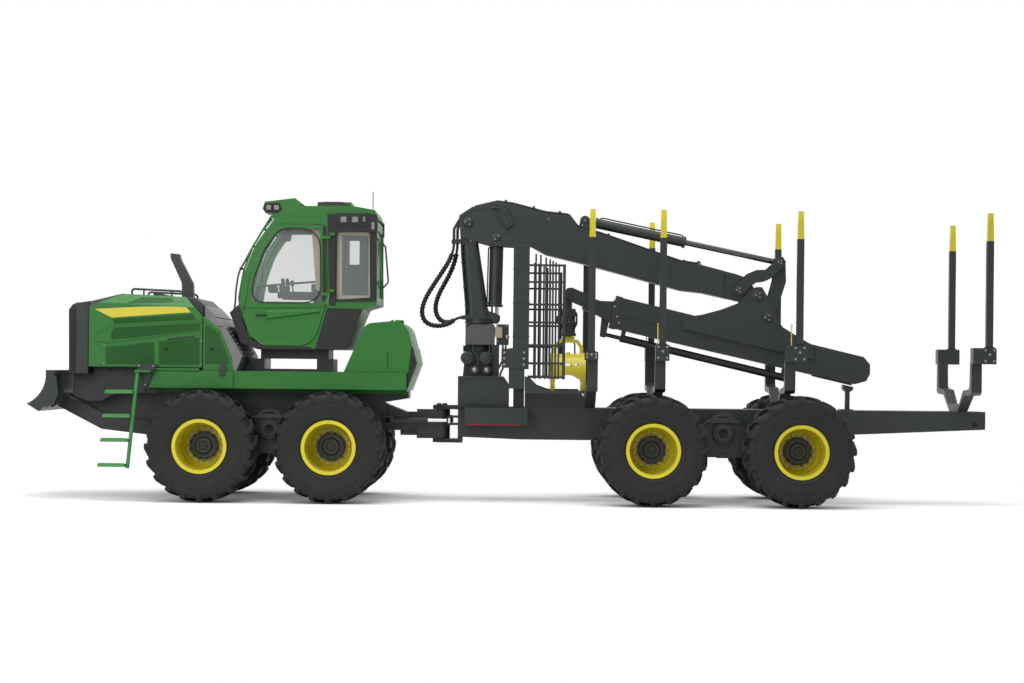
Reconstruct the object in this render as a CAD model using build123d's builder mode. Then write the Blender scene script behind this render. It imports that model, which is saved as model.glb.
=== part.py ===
from build123d import *
import math
import os

# Forestry forwarder, in millimetres.
# +X points to the load end, +Z up, and the blade is at the low end of X.
# The origin is on the ground, midway between the blade's tip and the rear bumper.

# Driving dimensions
OVERALL_LENGTH = 13020.0
OVERALL_WIDTH = 3080.0
AXLE_Z = 750.0
REAR_END = OVERALL_LENGTH / 2
RUN_GAP = 5.0
SEAT_GAP = 0.3
PIN_GAP = 0.05
PLATE = 25.0

# Wheels
TYRE_R = 750.0
TYRE_WIDTH = 750.0
TREAD_DEPTH = 45.0
RIM_SEAT_R = 340.0
RIM_FLANGE_R = 365.0
HUB_R = 185.0
STUB_R = 60.0
FRONT_WHEELS_X = (-4157.0, -2443.0)
REAR_WHEELS_X = (1872.0, 3840.0)

# Frames and articulation
STEER_X = -990.0
STEER_PIN_R = 60.0
STEER_EYE_Z = (850.0, 1250.0)
FRAME_HALF = 300.0
REAR_FRAME_TOP = 1295.0
FRONT_FRAME_TOP = 1455.0
BOGIE_PIVOT_Z = 970.0
BOGIE_WIDTH = 190.0
BOGIE_SIDE_GAP = 8.0

BASE_FRONT = -760.0
STEER_FRONT = (-1670.0, 365.0)
STEER_REAR = (-880.0, 260.0)
STEER_CYL_Z = 1100.0
JIB_REST_X = 4655.0
JIB_REST_TOP = 1652.0
TOW_HOLE = (REAR_END - 140.0, 1120.0)
TOW_R = 30.0
BLADE_PIVOT = (-5000.0, 950.0)
LADDER_HEAD = (-5021.5, -1250.0, 1758.0)
LADDER_FOOT = (-5150.0, -1250.0, 440.0)
LADDER_R = 25.0
HOOD_AXIS = (1012.0, 1780.0)
HOOD_HINGES = (-4900.0, -4350.0)

# Load space
STAKE_HALF = 1350.0
STAKE_TOP = 3958.0
STAKE_SIZE = 90.0
BUNK_TOP_Z = 1400.0
POST_FOOT_Z = 1610.0

# Crane
SLEW_X = -480.0
PEDESTAL_R = 195.0
PEDESTAL_TOP = 2440.0
SLEW_SPIGOT_R = 90.0
COLUMN_HALF = 115.0
BOOM_PIN = (-649.0, 3850.0)
LIFT_TOP = (-250.0, 3640.0)
LIFT_FOOT = (-270.0, 2513.0)
BOOM_HALF = 150.0
CHEEK = 25.0
KNEE_PIN = (3380.0, 2875.0)
ROCKER_PIN = (3105.0, 2945.0)
LINK_PIN = (3672.0, 3337.0)
BRACKET_PIN = (3512.0, 2567.0)
FOLD_FOOT = (973.0, 3890.0)
TIP_PIN = (770.0, 2885.0)
JIB_SLOPE = 13.0
JIB_START = (1365.0, 2627.0)
JIB_HALF = 125.0
JIB_HEIGHT = 440.0
JIB_LENGTH = 3640.0
BEAM_HALF = 88.0
BEAM_HEIGHT = 300.0

# Cab
CAB_HALF = 790.0
CAB_WALL = 60.0
DOOR_AXIS = (-2505.0, -808.0)
DOOR_HINGES = (2790.0, 3560.0)


def side(y):
    """Plane seen from the left side: local x is X, local y is Z, normal towards -Y."""
    return Plane(origin=(0, y, 0), x_dir=(1, 0, 0), z_dir=(0, -1, 0))


def slab(points, y_low, y_high):
    """A side outline given as (X, Z) points, extruded from y_low to y_high."""
    with BuildPart() as body:
        with BuildSketch(side(y_high)):
            Polygon(*points, align=None)
        extrude(amount=y_high - y_low)
    return body.part


def rounded(points, radius, y_low, y_high):
    """A side outline with rounded corners, extruded from y_low to y_high."""
    with BuildPart() as body:
        with BuildSketch(side(y_high)):
            with BuildLine():
                FilletPolyline(*points, radius=radius, close=True)
            make_face()
        extrude(amount=y_high - y_low)
    return body.part


def flat_solid(corners, faces):
    """A closed solid with flat faces, each given by the numbers of its corners."""
    sides = [Face(Wire.make_polygon([corners[n] for n in face])) for face in faces]
    solid = Solid(Shell(sides))
    return solid if solid.volume > 0 else Solid(Shell([-face for face in sides]))


def cross(points, x_low, x_high):
    """A cross outline given as (Y, Z) points, extruded from x_low to x_high."""
    with BuildPart() as body:
        with BuildSketch(Plane(origin=(x_low, 0, 0), x_dir=(0, 1, 0), z_dir=(1, 0, 0))):
            Polygon(*points, align=None)
        extrude(amount=x_high - x_low)
    return body.part


def plan(points, z_low, z_high):
    """A plan outline given as (X, Y) points, extruded from z_low to z_high."""
    with BuildPart() as body:
        with BuildSketch(Plane.XY.offset(z_low)):
            Polygon(*points, align=None)
        extrude(amount=z_high - z_low)
    return body.part


def block(x_low, x_high, y_low, y_high, z_low, z_high):
    """A plain box between two corners."""
    with BuildPart() as body:
        with Locations(((x_low + x_high) / 2, (y_low + y_high) / 2, (z_low + z_high) / 2)):
            Box(x_high - x_low, y_high - y_low, z_high - z_low)
    return body.part


def bar(start, end, radius, bore=0.0):
    """A round bar or tube from start to end."""
    run = Vector(*end) - Vector(*start)
    with BuildPart() as body:
        with BuildSketch(Plane(origin=start, z_dir=run)):
            Circle(radius)
            if bore > 0:
                Circle(bore, mode=Mode.SUBTRACT)
        extrude(amount=run.length)
    return body.part


def pin(spot, radius, y_low, y_high):
    """A pin across the machine at (X, Z)."""
    return bar((spot[0], y_low, spot[1]), (spot[0], y_high, spot[1]), radius)


def along(start, end, distance):
    """The (X, Z) point that lies distance from start towards end."""
    length = math.dist(start, end)
    return (start[0] + (end[0] - start[0]) * distance / length,
            start[1] + (end[1] - start[1]) * distance / length)


def finish(piece, label):
    """Name the piece and write it out."""
    piece.label = label
    export_step(piece, "parts/" + label + ".step")


os.makedirs("parts", exist_ok=True)

# Wheels: a wide tyre on a deep rim with the planetary hub in its dish
wheel_plane = Plane(origin=(0, 0, 0), x_dir=(0, 1, 0), z_dir=(1, 0, 0))
half_tyre = TYRE_WIDTH / 2
tyre_centre = OVERALL_WIDTH / 2 - half_tyre

TYRE_SIDES = 18
LUGS = 10
LUG_HALF = 42.0
LUG_SHIFT = 115.0
bead = half_tyre - 60
shoulder = half_tyre - 20
tread_r = TYRE_R - TREAD_DEPTH
bore_r = RIM_SEAT_R / math.cos(math.pi / TYRE_SIDES)
toe = bead - 15
TYRE_LINE = [(-toe, bore_r), (-half_tyre, RIM_FLANGE_R + 150), (-shoulder, tread_r - 8), (shoulder, tread_r - 8),
             (half_tyre, RIM_FLANGE_R + 150), (toe, bore_r)]


def tyre_carcass():
    """The tyre's body as flat facets round its axis."""
    corners = []
    for y, radius in TYRE_LINE:
        for step in range(TYRE_SIDES):
            angle = math.tau * (step + 0.5) / TYRE_SIDES
            corners.append((radius * math.sin(angle), y, radius * math.cos(angle)))
    faces = []
    rows = len(TYRE_LINE)
    for row in range(rows):
        for step in range(TYRE_SIDES):
            after = (step + 1) % TYRE_SIDES
            near = row * TYRE_SIDES
            far = (row + 1) % rows * TYRE_SIDES
            faces.append((near + step, near + after, far + after, far + step))
    return flat_solid(corners, faces)


def tread_lug(sign):
    """One bar of the tread, from beside the middle line out to the shoulder, at the tyre's lowest point."""
    corners = []
    for y, shift, top in ((12, 0, TYRE_R), (shoulder + 4, LUG_SHIFT, TYRE_R - 24)):
        for x, radius in ((-LUG_HALF, 672), (LUG_HALF, 672), (LUG_HALF, top), (-LUG_HALF, top)):
            corners.append((x + shift, sign * y, -radius))
    return flat_solid(corners, [(0, 1, 2, 3), (4, 5, 6, 7), (0, 1, 5, 4), (1, 2, 6, 5), (2, 3, 7, 6), (3, 0, 4, 7)])


with BuildPart() as tyre_master:
    add(tyre_carcass())
    for number in range(LUGS):
        turn = 360 * number / LUGS
        add(tread_lug(-1).rotate(Axis.Y, turn))
        add(tread_lug(1).rotate(Axis.Y, turn + 180 / LUGS))

DISH_Y = -230.0
DISH_PLATE = 30.0
RIM_WALL = 22.0
HUB_FRONT = DISH_Y + 95.0
HUB_BACK = -half_tyre + 2.0
STUB_LENGTH = 120.0
with BuildPart() as rim_master:
    seat = RIM_SEAT_R - SEAT_GAP
    edge = bead + 6
    with BuildSketch(wheel_plane):
        Polygon((-edge, seat), (edge, seat), (edge, RIM_FLANGE_R), (edge + 40, RIM_FLANGE_R),
                (edge + 40, seat - RIM_WALL), (DISH_Y + 90, seat - RIM_WALL - 20),
                (DISH_Y + DISH_PLATE, seat - RIM_WALL - 70), (DISH_Y + DISH_PLATE, HUB_R - 5),
                (HUB_FRONT, HUB_R - 20), (HUB_FRONT + 30, HUB_R - 80), (HUB_FRONT + 30, 0),
                (HUB_BACK + STUB_LENGTH, 0), (HUB_BACK + STUB_LENGTH, STUB_R + SEAT_GAP),
                (HUB_BACK, STUB_R + SEAT_GAP), (HUB_BACK, HUB_R - 10), (DISH_Y, HUB_R - 10),
                (DISH_Y, seat - RIM_WALL - 60), (-edge - 40, seat - RIM_WALL),
                (-edge - 40, RIM_FLANGE_R), (-edge, RIM_FLANGE_R), align=None)
    revolve(axis=Axis.Y)

WHEELS = [("front", FRONT_WHEELS_X), ("rear", REAR_WHEELS_X)]
for axle_name, places in WHEELS:
    for number, wheel_x in enumerate(places, start=1):
        for side_name, turn, sign in (("left", 180, -1), ("right", 0, 1)):
            spot = Location((wheel_x, sign * tyre_centre, AXLE_Z), (0, 0, turn))
            tag = f"{axle_name}_{side_name}_{number}"
            with BuildPart() as tyre:
                with Locations(spot):
                    add(tyre_master.part)
            finish(tyre.part, "tyre_" + tag)
            with BuildPart() as rim:
                with Locations(spot):
                    add(rim_master.part)
            finish(rim.part, "rim_" + tag)

# Bogies: portal cases that hang from a pivot above the line of the axles
inner_face = OVERALL_WIDTH / 2 - TYRE_WIDTH
bogie_out = inner_face - BOGIE_SIDE_GAP
bogie_in = bogie_out - BOGIE_WIDTH
for axle_name, places in WHEELS:
    mid = (places[0] + places[1]) / 2
    half_base = (places[1] - places[0]) / 2
    with BuildPart() as bogie:
        case = [(-half_base - 190, 650), (-half_base - 190, 850), (-half_base - 110, 930),
                (-half_base + 120, 950), (-330, 1010), (-240, 1120), (240, 1120), (330, 1010),
                (half_base - 120, 950), (half_base + 110, 930), (half_base + 190, 850),
                (half_base + 190, 650), (half_base + 110, 570), (half_base - 120, 570),
                (300, 650), (-300, 650), (-half_base + 120, 570), (-half_base - 110, 570)]
        add(slab([(mid + x, z) for x, z in case], -bogie_out, -bogie_in))
        for wheel_x in places:
            add(bar((wheel_x, -bogie_out, AXLE_Z), (wheel_x, -inner_face, AXLE_Z), HUB_R - 20))
            add(bar((wheel_x, -inner_face, AXLE_Z),
                    (wheel_x, -inner_face - STUB_LENGTH + 8, AXLE_Z), STUB_R))
        add(bar((mid, -bogie_out, BOGIE_PIVOT_Z), (mid, -bogie_out - 60, BOGIE_PIVOT_Z), 125))
        add(bar((mid, -bogie_in, BOGIE_PIVOT_Z), (mid, -FRAME_HALF - SEAT_GAP, BOGIE_PIVOT_Z), 170))
        mirror(about=Plane.XZ)
    finish(bogie.part, "bogies_" + axle_name)

# Rear frame: a spine beam with the articulation fork, the jib rest and the bumper
SIDE_BOX_HALF = 620.0
with BuildPart() as rear_frame:
    spine = [(BASE_FRONT, 880), (120, 850), (1060, 850), (1200, 900), (4740, 965), (REAR_END, 1050),
             (REAR_END, REAR_FRAME_TOP), (BASE_FRONT, REAR_FRAME_TOP)]
    add(slab(spine, -FRAME_HALF, FRAME_HALF))
    add(slab([(1200, 900), (4740, 965), (REAR_END - 60, 1050), (REAR_END - 60, 1230), (1200, 1230)],
             -FRAME_HALF + PLATE, FRAME_HALF - PLATE), mode=Mode.SUBTRACT)
    fork = [(STEER_X - 120, -110), (STEER_X - 120, 110), (BASE_FRONT, 250), (BASE_FRONT, -250)]
    add(plan(fork, STEER_EYE_Z[1] + RUN_GAP, REAR_FRAME_TOP + 15))
    add(plan(fork, STEER_EYE_Z[0] - RUN_GAP - 50, STEER_EYE_Z[0] - RUN_GAP))
    add(block(BASE_FRONT, BASE_FRONT + 60, -250, 250, STEER_EYE_Z[0] - RUN_GAP - 50, 900))
    add(bar((STEER_X, 0, STEER_EYE_Z[0] - 60), (STEER_X, 0, REAR_FRAME_TOP + 15), STEER_PIN_R))
    clevis = [(BASE_FRONT, 200), (BASE_FRONT, 300), (STEER_REAR[0], STEER_REAR[1] + 45),
              (STEER_REAR[0] - 45, STEER_REAR[1]), (STEER_REAR[0], STEER_REAR[1] - 45)]
    for sign in (-1, 1):
        for low_z in (STEER_CYL_Z - 62, STEER_CYL_Z + 40):
            add(plan([(x, sign * y) for x, y in clevis], low_z, low_z + 22))
            add(bar((STEER_REAR[0], sign * STEER_REAR[1], low_z - 6),
                    (STEER_REAR[0], sign * STEER_REAR[1], low_z + 28), 26))
    for sign in (-1, 1):
        box_edges = sorted((sign * SIDE_BOX_HALF, sign * FRAME_HALF))
        add(block(-660, 200, box_edges[0], box_edges[1], 1060, 1290))
    add(block(JIB_REST_X - 120, JIB_REST_X + 60, -120, 120, REAR_FRAME_TOP, REAR_FRAME_TOP + 15))
    add(block(JIB_REST_X - 40, JIB_REST_X + 20, -40, 40, REAR_FRAME_TOP + 15, JIB_REST_TOP - 100))
    add(slab([(JIB_REST_X - 80, JIB_REST_TOP), (JIB_REST_X + 60, JIB_REST_TOP - 32),
              (JIB_REST_X + 60, JIB_REST_TOP - 70), (JIB_REST_X + 20, JIB_REST_TOP - 100),
              (JIB_REST_X - 40, JIB_REST_TOP - 100), (JIB_REST_X - 80, JIB_REST_TOP - 60)], -90, 90))
    add(pin(TOW_HOLE, TOW_R, -FRAME_HALF - 1, FRAME_HALF + 1), mode=Mode.SUBTRACT)
finish(rear_frame.part, "rear_frame")

# Crane base: a box on the frame, the slew cylinders across it and the pedestal
BASE_HALF = 450.0
BASE_TOP = 1715.0
RACK_Z = 1966.0
RACK_R = 76.0
with BuildPart() as crane_base:
    add(slab([(BASE_FRONT, REAR_FRAME_TOP), (-60, REAR_FRAME_TOP), (-60, 1600), (-140, BASE_TOP),
              (BASE_FRONT, BASE_TOP)], -BASE_HALF, BASE_HALF))
    add(slab([(-700, BASE_TOP), (-260, BASE_TOP), (-290, 2055), (-670, 2055)], -210, 210))
    for rack_x in (SLEW_X - 160, SLEW_X + 105):
        add(bar((rack_x, -430, RACK_Z), (rack_x, 430, RACK_Z), RACK_R))
    add(bar((SLEW_X, 0, 2055), (SLEW_X, 0, PEDESTAL_TOP), PEDESTAL_R))
    add(bar((SLEW_X, 0, 2055), (SLEW_X, 0, 2140), PEDESTAL_R + 30))
    add(bar((SLEW_X, 0, PEDESTAL_TOP), (SLEW_X, 0, PEDESTAL_TOP + 60), SLEW_SPIGOT_R))
    for valve_x in (SLEW_X - 54, SLEW_X + 114):
        add(bar((valve_x, -430, 1805), (valve_x, -200, 1805), 50))
    add(slab([(-632, 2147), (-652, 2395), (-579, 2434), (-282, 2434), (-252, 2378), (-272, 2147)], -300, -180))
    add(block(-240, -70, -330, -215, 2150, 2434))
    add(block(-300, -200, -330, -215, 1715, 2150))
finish(crane_base.part, "crane_base")

# Headboard: a grille between two posts, with a wing of bars down each side
POST_X = (-10.0, 205.0)
GATE_BAR = 34.0
with BuildPart() as headboard:
    post = block(POST_X[0], POST_X[1], -1360, -1240, 1820, 3477)
    add(post)
    add(block(-60, 150, -1360, -1240, 1560, 2100))
    add(block(-150, 175, -1372, -1235, 1835, 2092))
    for bar_x, top_z in ((290, 3360), (353, 3350), (424, 3315), (477, 3290), (517, 3270), (557, 3250), (600, 3225)):
        add(block(bar_x - 12, bar_x + 12, -1318, -1288, 1690, top_z))
    add(block(650, 690, -1325, -1285, 1690, 3225))
    for rod_z in (3210, 2985, 2685, 2446, 2142, 1902, 1715):
        add(block(200, 690, -1315, -1290, rod_z - 14, rod_z + 14))
    add(slab([(160, 1560), (160, 1720), (240, 1690), (330, 1600), (495, 1540), (940, 1540), (940, 1500),
              (160, 1500)], -1360, -1260))
    mirror(about=Plane.XZ)
    for step in range(-9, 10):
        add(block(20, 20 + GATE_BAR, step * 128 - 14, step * 128 + 14, 1700, 3360))
    for rod_z in (1700, 2100, 2520, 2940, 3346):
        add(block(12, 12 + GATE_BAR, -1245, 1245, rod_z, rod_z + GATE_BAR))
    add(block(0, 150, -1245, 1245, 1560, 1700))
    add(block(0, 150, -FRAME_HALF, FRAME_HALF, REAR_FRAME_TOP, 1560))
finish(headboard.part, "headboard")

# Bunks: gull-wing cross beams with a post and a stake socket at each end
BUNKS = [(1060.0, 1040.0, 2060.0), (1965.0, 1987.0, 2165.0), (3700.0, 3814.0, 2170.0),
         (REAR_END - 320.0, REAR_END - 170.0, 2165.0)]
BUNK_HALF = 70.0
with BuildPart() as bunks:
    for beam_x, stake_x, socket_top in BUNKS:
        wing = [(0, REAR_FRAME_TOP), (-FRAME_HALF, REAR_FRAME_TOP), (-760, 1520), (-1200, 1530), (-1290, 1570),
                (-1290, 1980), (-1180, 1980), (-1150, POST_FOOT_Z + 30), (-1080, POST_FOOT_Z),
                (-700, POST_FOOT_Z - 20), (-420, BUNK_TOP_Z), (0, BUNK_TOP_Z)]
        add(cross(wing, beam_x - BUNK_HALF, beam_x + BUNK_HALF))
        low_x = min(beam_x - BUNK_HALF, stake_x - 90)
        high_x = max(beam_x + BUNK_HALF, stake_x + 90)
        add(block(low_x, high_x, -STAKE_HALF - 60, -1200, 1950, socket_top))
        hole = STAKE_SIZE / 2 + SEAT_GAP
        add(block(stake_x - hole, stake_x + hole, -STAKE_HALF - hole, -STAKE_HALF + hole, 1990, socket_top + 1),
            mode=Mode.SUBTRACT)
    mirror(about=Plane.XZ)
finish(bunks.part, "bunks")

# Stakes: tapered posts that stand in the bunks' sockets
with BuildPart() as stakes:
    for beam_x, stake_x, socket_top in BUNKS:
        with BuildSketch(Plane(origin=(stake_x, -STAKE_HALF, 1990))) as foot:
            Rectangle(STAKE_SIZE, STAKE_SIZE)
        extrude(amount=1600)
        with BuildSketch(Plane(origin=(stake_x, -STAKE_HALF, 3590))) as head:
            Rectangle(STAKE_SIZE - 8, STAKE_SIZE - 8)
        extrude(amount=STAKE_TOP - 3590, taper=1)
    mirror(about=Plane.XZ)
finish(stakes.part, "stakes")

# Front frame: two side plates under the engine and the cab, and the articulation eye
with BuildPart() as front_frame:
    deck = [(-5830, 1320), (-5700, 960), (-5560, 930), (-5020, 880), (-2000, 960), (-1440, 960), (-1440, 1200),
            (-1800, 1340), (-1440, 1400), (-1440, FRONT_FRAME_TOP), (-5830, FRONT_FRAME_TOP)]
    add(slab(deck, -FRAME_HALF, FRAME_HALF))
    for sign in (-1, 1):
        add(block(-1740, -1400, min(sign * 215, sign * 310), max(sign * 215, sign * 310), 900, 1330),
            mode=Mode.SUBTRACT)
    add(block(-5500, -1850, -FRAME_HALF + PLATE, FRAME_HALF - PLATE, 1010, 1400), mode=Mode.SUBTRACT)
    for sign in (-1, 1):
        for low_z in (STEER_CYL_Z - 62, STEER_CYL_Z + 40):
            add(block(STEER_FRONT[0] - 130, STEER_FRONT[0] + 40, min(sign * 210, sign * 410),
                      max(sign * 210, sign * 410), low_z, low_z + 22))
        add(bar((STEER_FRONT[0], sign * STEER_FRONT[1], STEER_CYL_Z - 68),
                (STEER_FRONT[0], sign * STEER_FRONT[1], STEER_CYL_Z + 68), 26))
    add(pin(BLADE_PIVOT, 40, -FRAME_HALF - 130, FRAME_HALF + 130))
    add(bar((-1560, 0, 1050), (-1180, 0, 1050), 165))
    add(plan([(-1330, -160), (STEER_X, -105), (STEER_X, 105), (-1330, 160)], STEER_EYE_Z[0], STEER_EYE_Z[1]))
    add(bar((STEER_X, 0, STEER_EYE_Z[0]), (STEER_X, 0, STEER_EYE_Z[1]), 115))
    add(bar((STEER_X, 0, STEER_EYE_Z[0] - 1), (STEER_X, 0, STEER_EYE_Z[1] + 1), STEER_PIN_R + SEAT_GAP),
        mode=Mode.SUBTRACT)
finish(front_frame.part, "front_frame")

# Engine: one plain block under the hood
with BuildPart() as engine:
    add(block(-5250, -4260, -420, 420, 1560, 2450))
finish(engine.part, "engine")

# Sills: the walkways and steps over the front wheels
with BuildPart() as sills:
    add(slab([(-5000, 1560), (-4950, 1755), (-1440, 1755), (-1440, 1520), (-4960, 1520)], -1040, -FRAME_HALF))
    add(block(-4900, -1500, -960, -FRAME_HALF, 1560, 1700), mode=Mode.SUBTRACT)
    add(block(-5010, -4220, -460, 0, 1560, 1760), mode=Mode.SUBTRACT)
    add(block(-5065, -4850, -1290, -1030, 1725, 1755))
    mirror(about=Plane.XZ)
    add(bar(LADDER_HEAD, LADDER_FOOT, LADDER_R + SEAT_GAP), mode=Mode.SUBTRACT)
    for hinge_x in HOOD_HINGES:
        add(block(hinge_x, hinge_x + 40, 997, 1027, 1750, HOOD_AXIS[1]))
        add(bar((hinge_x, HOOD_AXIS[0], HOOD_AXIS[1]), (hinge_x + 40, HOOD_AXIS[0], HOOD_AXIS[1]), 15))
        add(bar((hinge_x, HOOD_AXIS[0], HOOD_AXIS[1]), (hinge_x + 85, HOOD_AXIS[0], HOOD_AXIS[1]), 7))
    add(block(-4950, -1440, -FRAME_HALF, FRAME_HALF, FRONT_FRAME_TOP, 1500))
    add(block(-4950, -1440, -FRAME_HALF - 60, FRAME_HALF + 60, 1500, 1560))
finish(sills.part, "sills")

# Nose: the radiator housing with its side frames
NOSE_HALF = 1000.0
with BuildPart() as nose:
    add(slab([(-5990, 1700), (-6000, 2560), (-5950, 2630), (-5880, 2660), (-5735, 2600), (-5735, 1700)],
             -NOSE_HALF, NOSE_HALF))
    add(slab([(-5990, 1400), (-5990, 1700), (-5300, 1700), (-5300, 1560), (-5600, 1330), (-5800, 1330)],
             -700, 700))
    add(block(-5835, -5200, -310, 310, 1300, FRONT_FRAME_TOP), mode=Mode.SUBTRACT)
    for slot in range(11):
        slot_z = 1790 + slot * 66
        add(slab([(-6010, slot_z + 8), (-5960, slot_z - 12), (-5960, slot_z + 18), (-6010, slot_z + 38)], -860, 860),
            mode=Mode.SUBTRACT)
finish(nose.part, "nose")

# Hood: a shell over the engine, hinged along its right-hand lower edge
EXHAUST_R = 75.0
HOOD_OUT = [(-5728, 1795), (-5728, 2600), (-5300, 2785), (-4440, 2750), (-4200, 2480), (-4200, 1795)]
HOOD_PANELS = [([(-5500, 1825), (-5500, 2060), (-4840, 2135), (-4840, 1825)], -5450, -4890),
               ([(-4780, 1825), (-4780, 2142), (-4230, 2200), (-4230, 1825)], -4730, -4280)]
with BuildPart() as hood:
    with BuildSketch(side(1000)):
        Polygon(*HOOD_OUT, align=None)
    extrude(amount=2000)
    chamfer(hood.edges().filter_by(Axis.X, tolerance=20).group_by(Axis.Z)[-1], 140)
    add(slab([(-5700, 1790), (-5700, 2570), (-5300, 2755), (-4460, 2720), (-4230, 2470), (-4230, 1790)],
             -970, 970), mode=Mode.SUBTRACT)
    for panel, slot_x, slot_end in HOOD_PANELS:
        add(slab(panel, -1001, -992), mode=Mode.SUBTRACT)
        for slot in range(6):
            slot_z = 1862 + slot * 30
            add(block(slot_x, slot_end, -1001, -969, slot_z, slot_z + 14), mode=Mode.SUBTRACT)
    for hinge_x in HOOD_HINGES:
        add(block(hinge_x + 45, hinge_x + 85, 990, 1027, HOOD_AXIS[1], 1860))
        add(bar((hinge_x + 45, HOOD_AXIS[0], HOOD_AXIS[1]), (hinge_x + 85, HOOD_AXIS[0], HOOD_AXIS[1]), 15))
        add(bar((hinge_x + 40, HOOD_AXIS[0], HOOD_AXIS[1]), (hinge_x + 90, HOOD_AXIS[0], HOOD_AXIS[1]), 7 + PIN_GAP),
            mode=Mode.SUBTRACT)
    add(bar((-4610, 500, 2700), (-4610, 500, 2800), EXHAUST_R + SEAT_GAP), mode=Mode.SUBTRACT)
finish(hood.part, "hood")

# Exhaust: a bent stack on top of the hood
with BuildPart() as exhaust:
    with BuildLine() as stack_line:
        FilletPolyline((-4610, 500, 2722), (-4610, 500, 2990), (-4780, 500, 3200), (-4780, 500, 3405), radius=90)
    with BuildSketch(Plane(origin=(-4610, 500, 2722))):
        Circle(EXHAUST_R)
        Circle(EXHAUST_R - 12, mode=Mode.SUBTRACT)
    sweep(path=stack_line.wires()[0])
finish(exhaust.part, "exhaust")

# Cowl: grey covers between the hood and the cab
with BuildPart() as cowl:
    add(slab([(-4190, 1755), (-4190, 2470), (-4050, 2490), (-3900, 2340), (-3660, 1960), (-3740, 1755)],
             -980, 980))
finish(cowl.part, "cowl")

# Tank: the rounded fuel and oil tank behind the cab
with BuildPart() as tank:
    with BuildSketch(side(980)):
        with BuildLine():
            Polyline((-1440, 1500), (-2160, 1500), (-2160, 1756), (-2290, 1756), (-2030, 2350))
            ThreePointArc((-2030, 2350), (-1980, 2400), (-1900, 2425))
            Line((-1900, 2425), (-1640, 2450))
            ThreePointArc((-1640, 2450), (-1480, 2400), (-1410, 2280))
            Polyline((-1410, 2280), (-1300, 1880), (-1440, 1500))
        make_face()
    extrude(amount=1960)
    add(block(-2400, -1440 + SEAT_GAP, -1100, 1100, 1400, 1755 + SEAT_GAP), mode=Mode.SUBTRACT)
finish(tank.part, "tank")

# Cab: a hollow shell with its windows cut, on a swivel base
CAB_OUT = [(-3475, 2060), (-3690, 2145), (-3850, 2540), (-3735, 2660), (-3690, 3020), (-3530, 3460), (-3250, 3850),
           (-1880, 3850), (-1860, 2680), (-2045, 2625), (-2270, 2060)]
CAB_OUT_R = [120, 160, 60, 60, 900, 900, 40, 40, 30, 60, 60]
CAB_IN = [(-3450, 2120), (-3640, 2190), (-3780, 2540), (-3665, 2680), (-3625, 3000), (-3470, 3430), (-3230, 3790),
          (-1940, 3790), (-1920, 2740), (-2090, 2680), (-2310, 2120)]
CAB_IN_R = [100, 120, 50, 50, 850, 850, 30, 30, 30, 50, 50]
DOOR = [(-3520, 2100), (-3720, 2480), (-3650, 2640), (-3600, 3030), (-3450, 3440), (-3230, 3760), (-2560, 3760),
        (-2520, 2760), (-2720, 2100)]
DOOR_R = [280, 60, 60, 800, 800, 100, 60, 60, 280]
WINDOW = [(-3580, 2690), (-3530, 3030), (-3400, 3400), (-3190, 3700), (-2640, 3700), (-2620, 2690)]
WINDOW_R = [40, 850, 850, 120, 60, 40]
REAR_WINDOW = [(-2420, 2730), (-2420, 3670), (-1960, 3670), (-1945, 2760)]
REAR_WINDOW_R = 35
with BuildPart() as cab_shell:
    add(rounded(CAB_OUT, CAB_OUT_R, -CAB_HALF, CAB_HALF))
    add(rounded(CAB_IN, CAB_IN_R, -CAB_HALF + CAB_WALL, CAB_HALF - CAB_WALL), mode=Mode.SUBTRACT)
    add(rounded(DOOR, DOOR_R, -CAB_HALF - 1, -CAB_HALF + CAB_WALL + 1), mode=Mode.SUBTRACT)
    add(rounded(WINDOW, WINDOW_R, CAB_HALF - CAB_WALL - 1, CAB_HALF + 1), mode=Mode.SUBTRACT)
    for wall in ((-CAB_HALF - 1, -CAB_HALF + CAB_WALL + 1), (CAB_HALF - CAB_WALL - 1, CAB_HALF + 1)):
        add(rounded(REAR_WINDOW, REAR_WINDOW_R, wall[0], wall[1]), mode=Mode.SUBTRACT)
    glass_half = CAB_HALF - CAB_WALL - 30
    add(block(-3900, -3300, -glass_half, glass_half, 2740, 3700), mode=Mode.SUBTRACT)
    add(block(-2000, -1800, -glass_half, glass_half, 2780, 3700), mode=Mode.SUBTRACT)
    for hinge_z in DOOR_HINGES:
        add(block(DOOR_AXIS[0], DOOR_AXIS[0] + 65, DOOR_AXIS[1] - 13, -CAB_HALF, hinge_z + 45, hinge_z + 85))
        add(bar((DOOR_AXIS[0], DOOR_AXIS[1], hinge_z + 45), (DOOR_AXIS[0], DOOR_AXIS[1], hinge_z + 85), 13))
        add(bar((DOOR_AXIS[0], DOOR_AXIS[1], hinge_z), (DOOR_AXIS[0], DOOR_AXIS[1], hinge_z + 60), 6))
finish(cab_shell.part, "cab_shell")

# Cab base: the swivel block and its feet
with BuildPart() as cab_base:
    add(block(-3470, -2540, -420, 420, 1930, 2060))
    for foot_x in (-3640, -2700):
        add(block(foot_x, foot_x + 220, -420, 420, 1755, 1930))
    add(block(-3640, -2540, -420, 420, 1755, 1790))
finish(cab_base.part, "cab_base")

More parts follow.
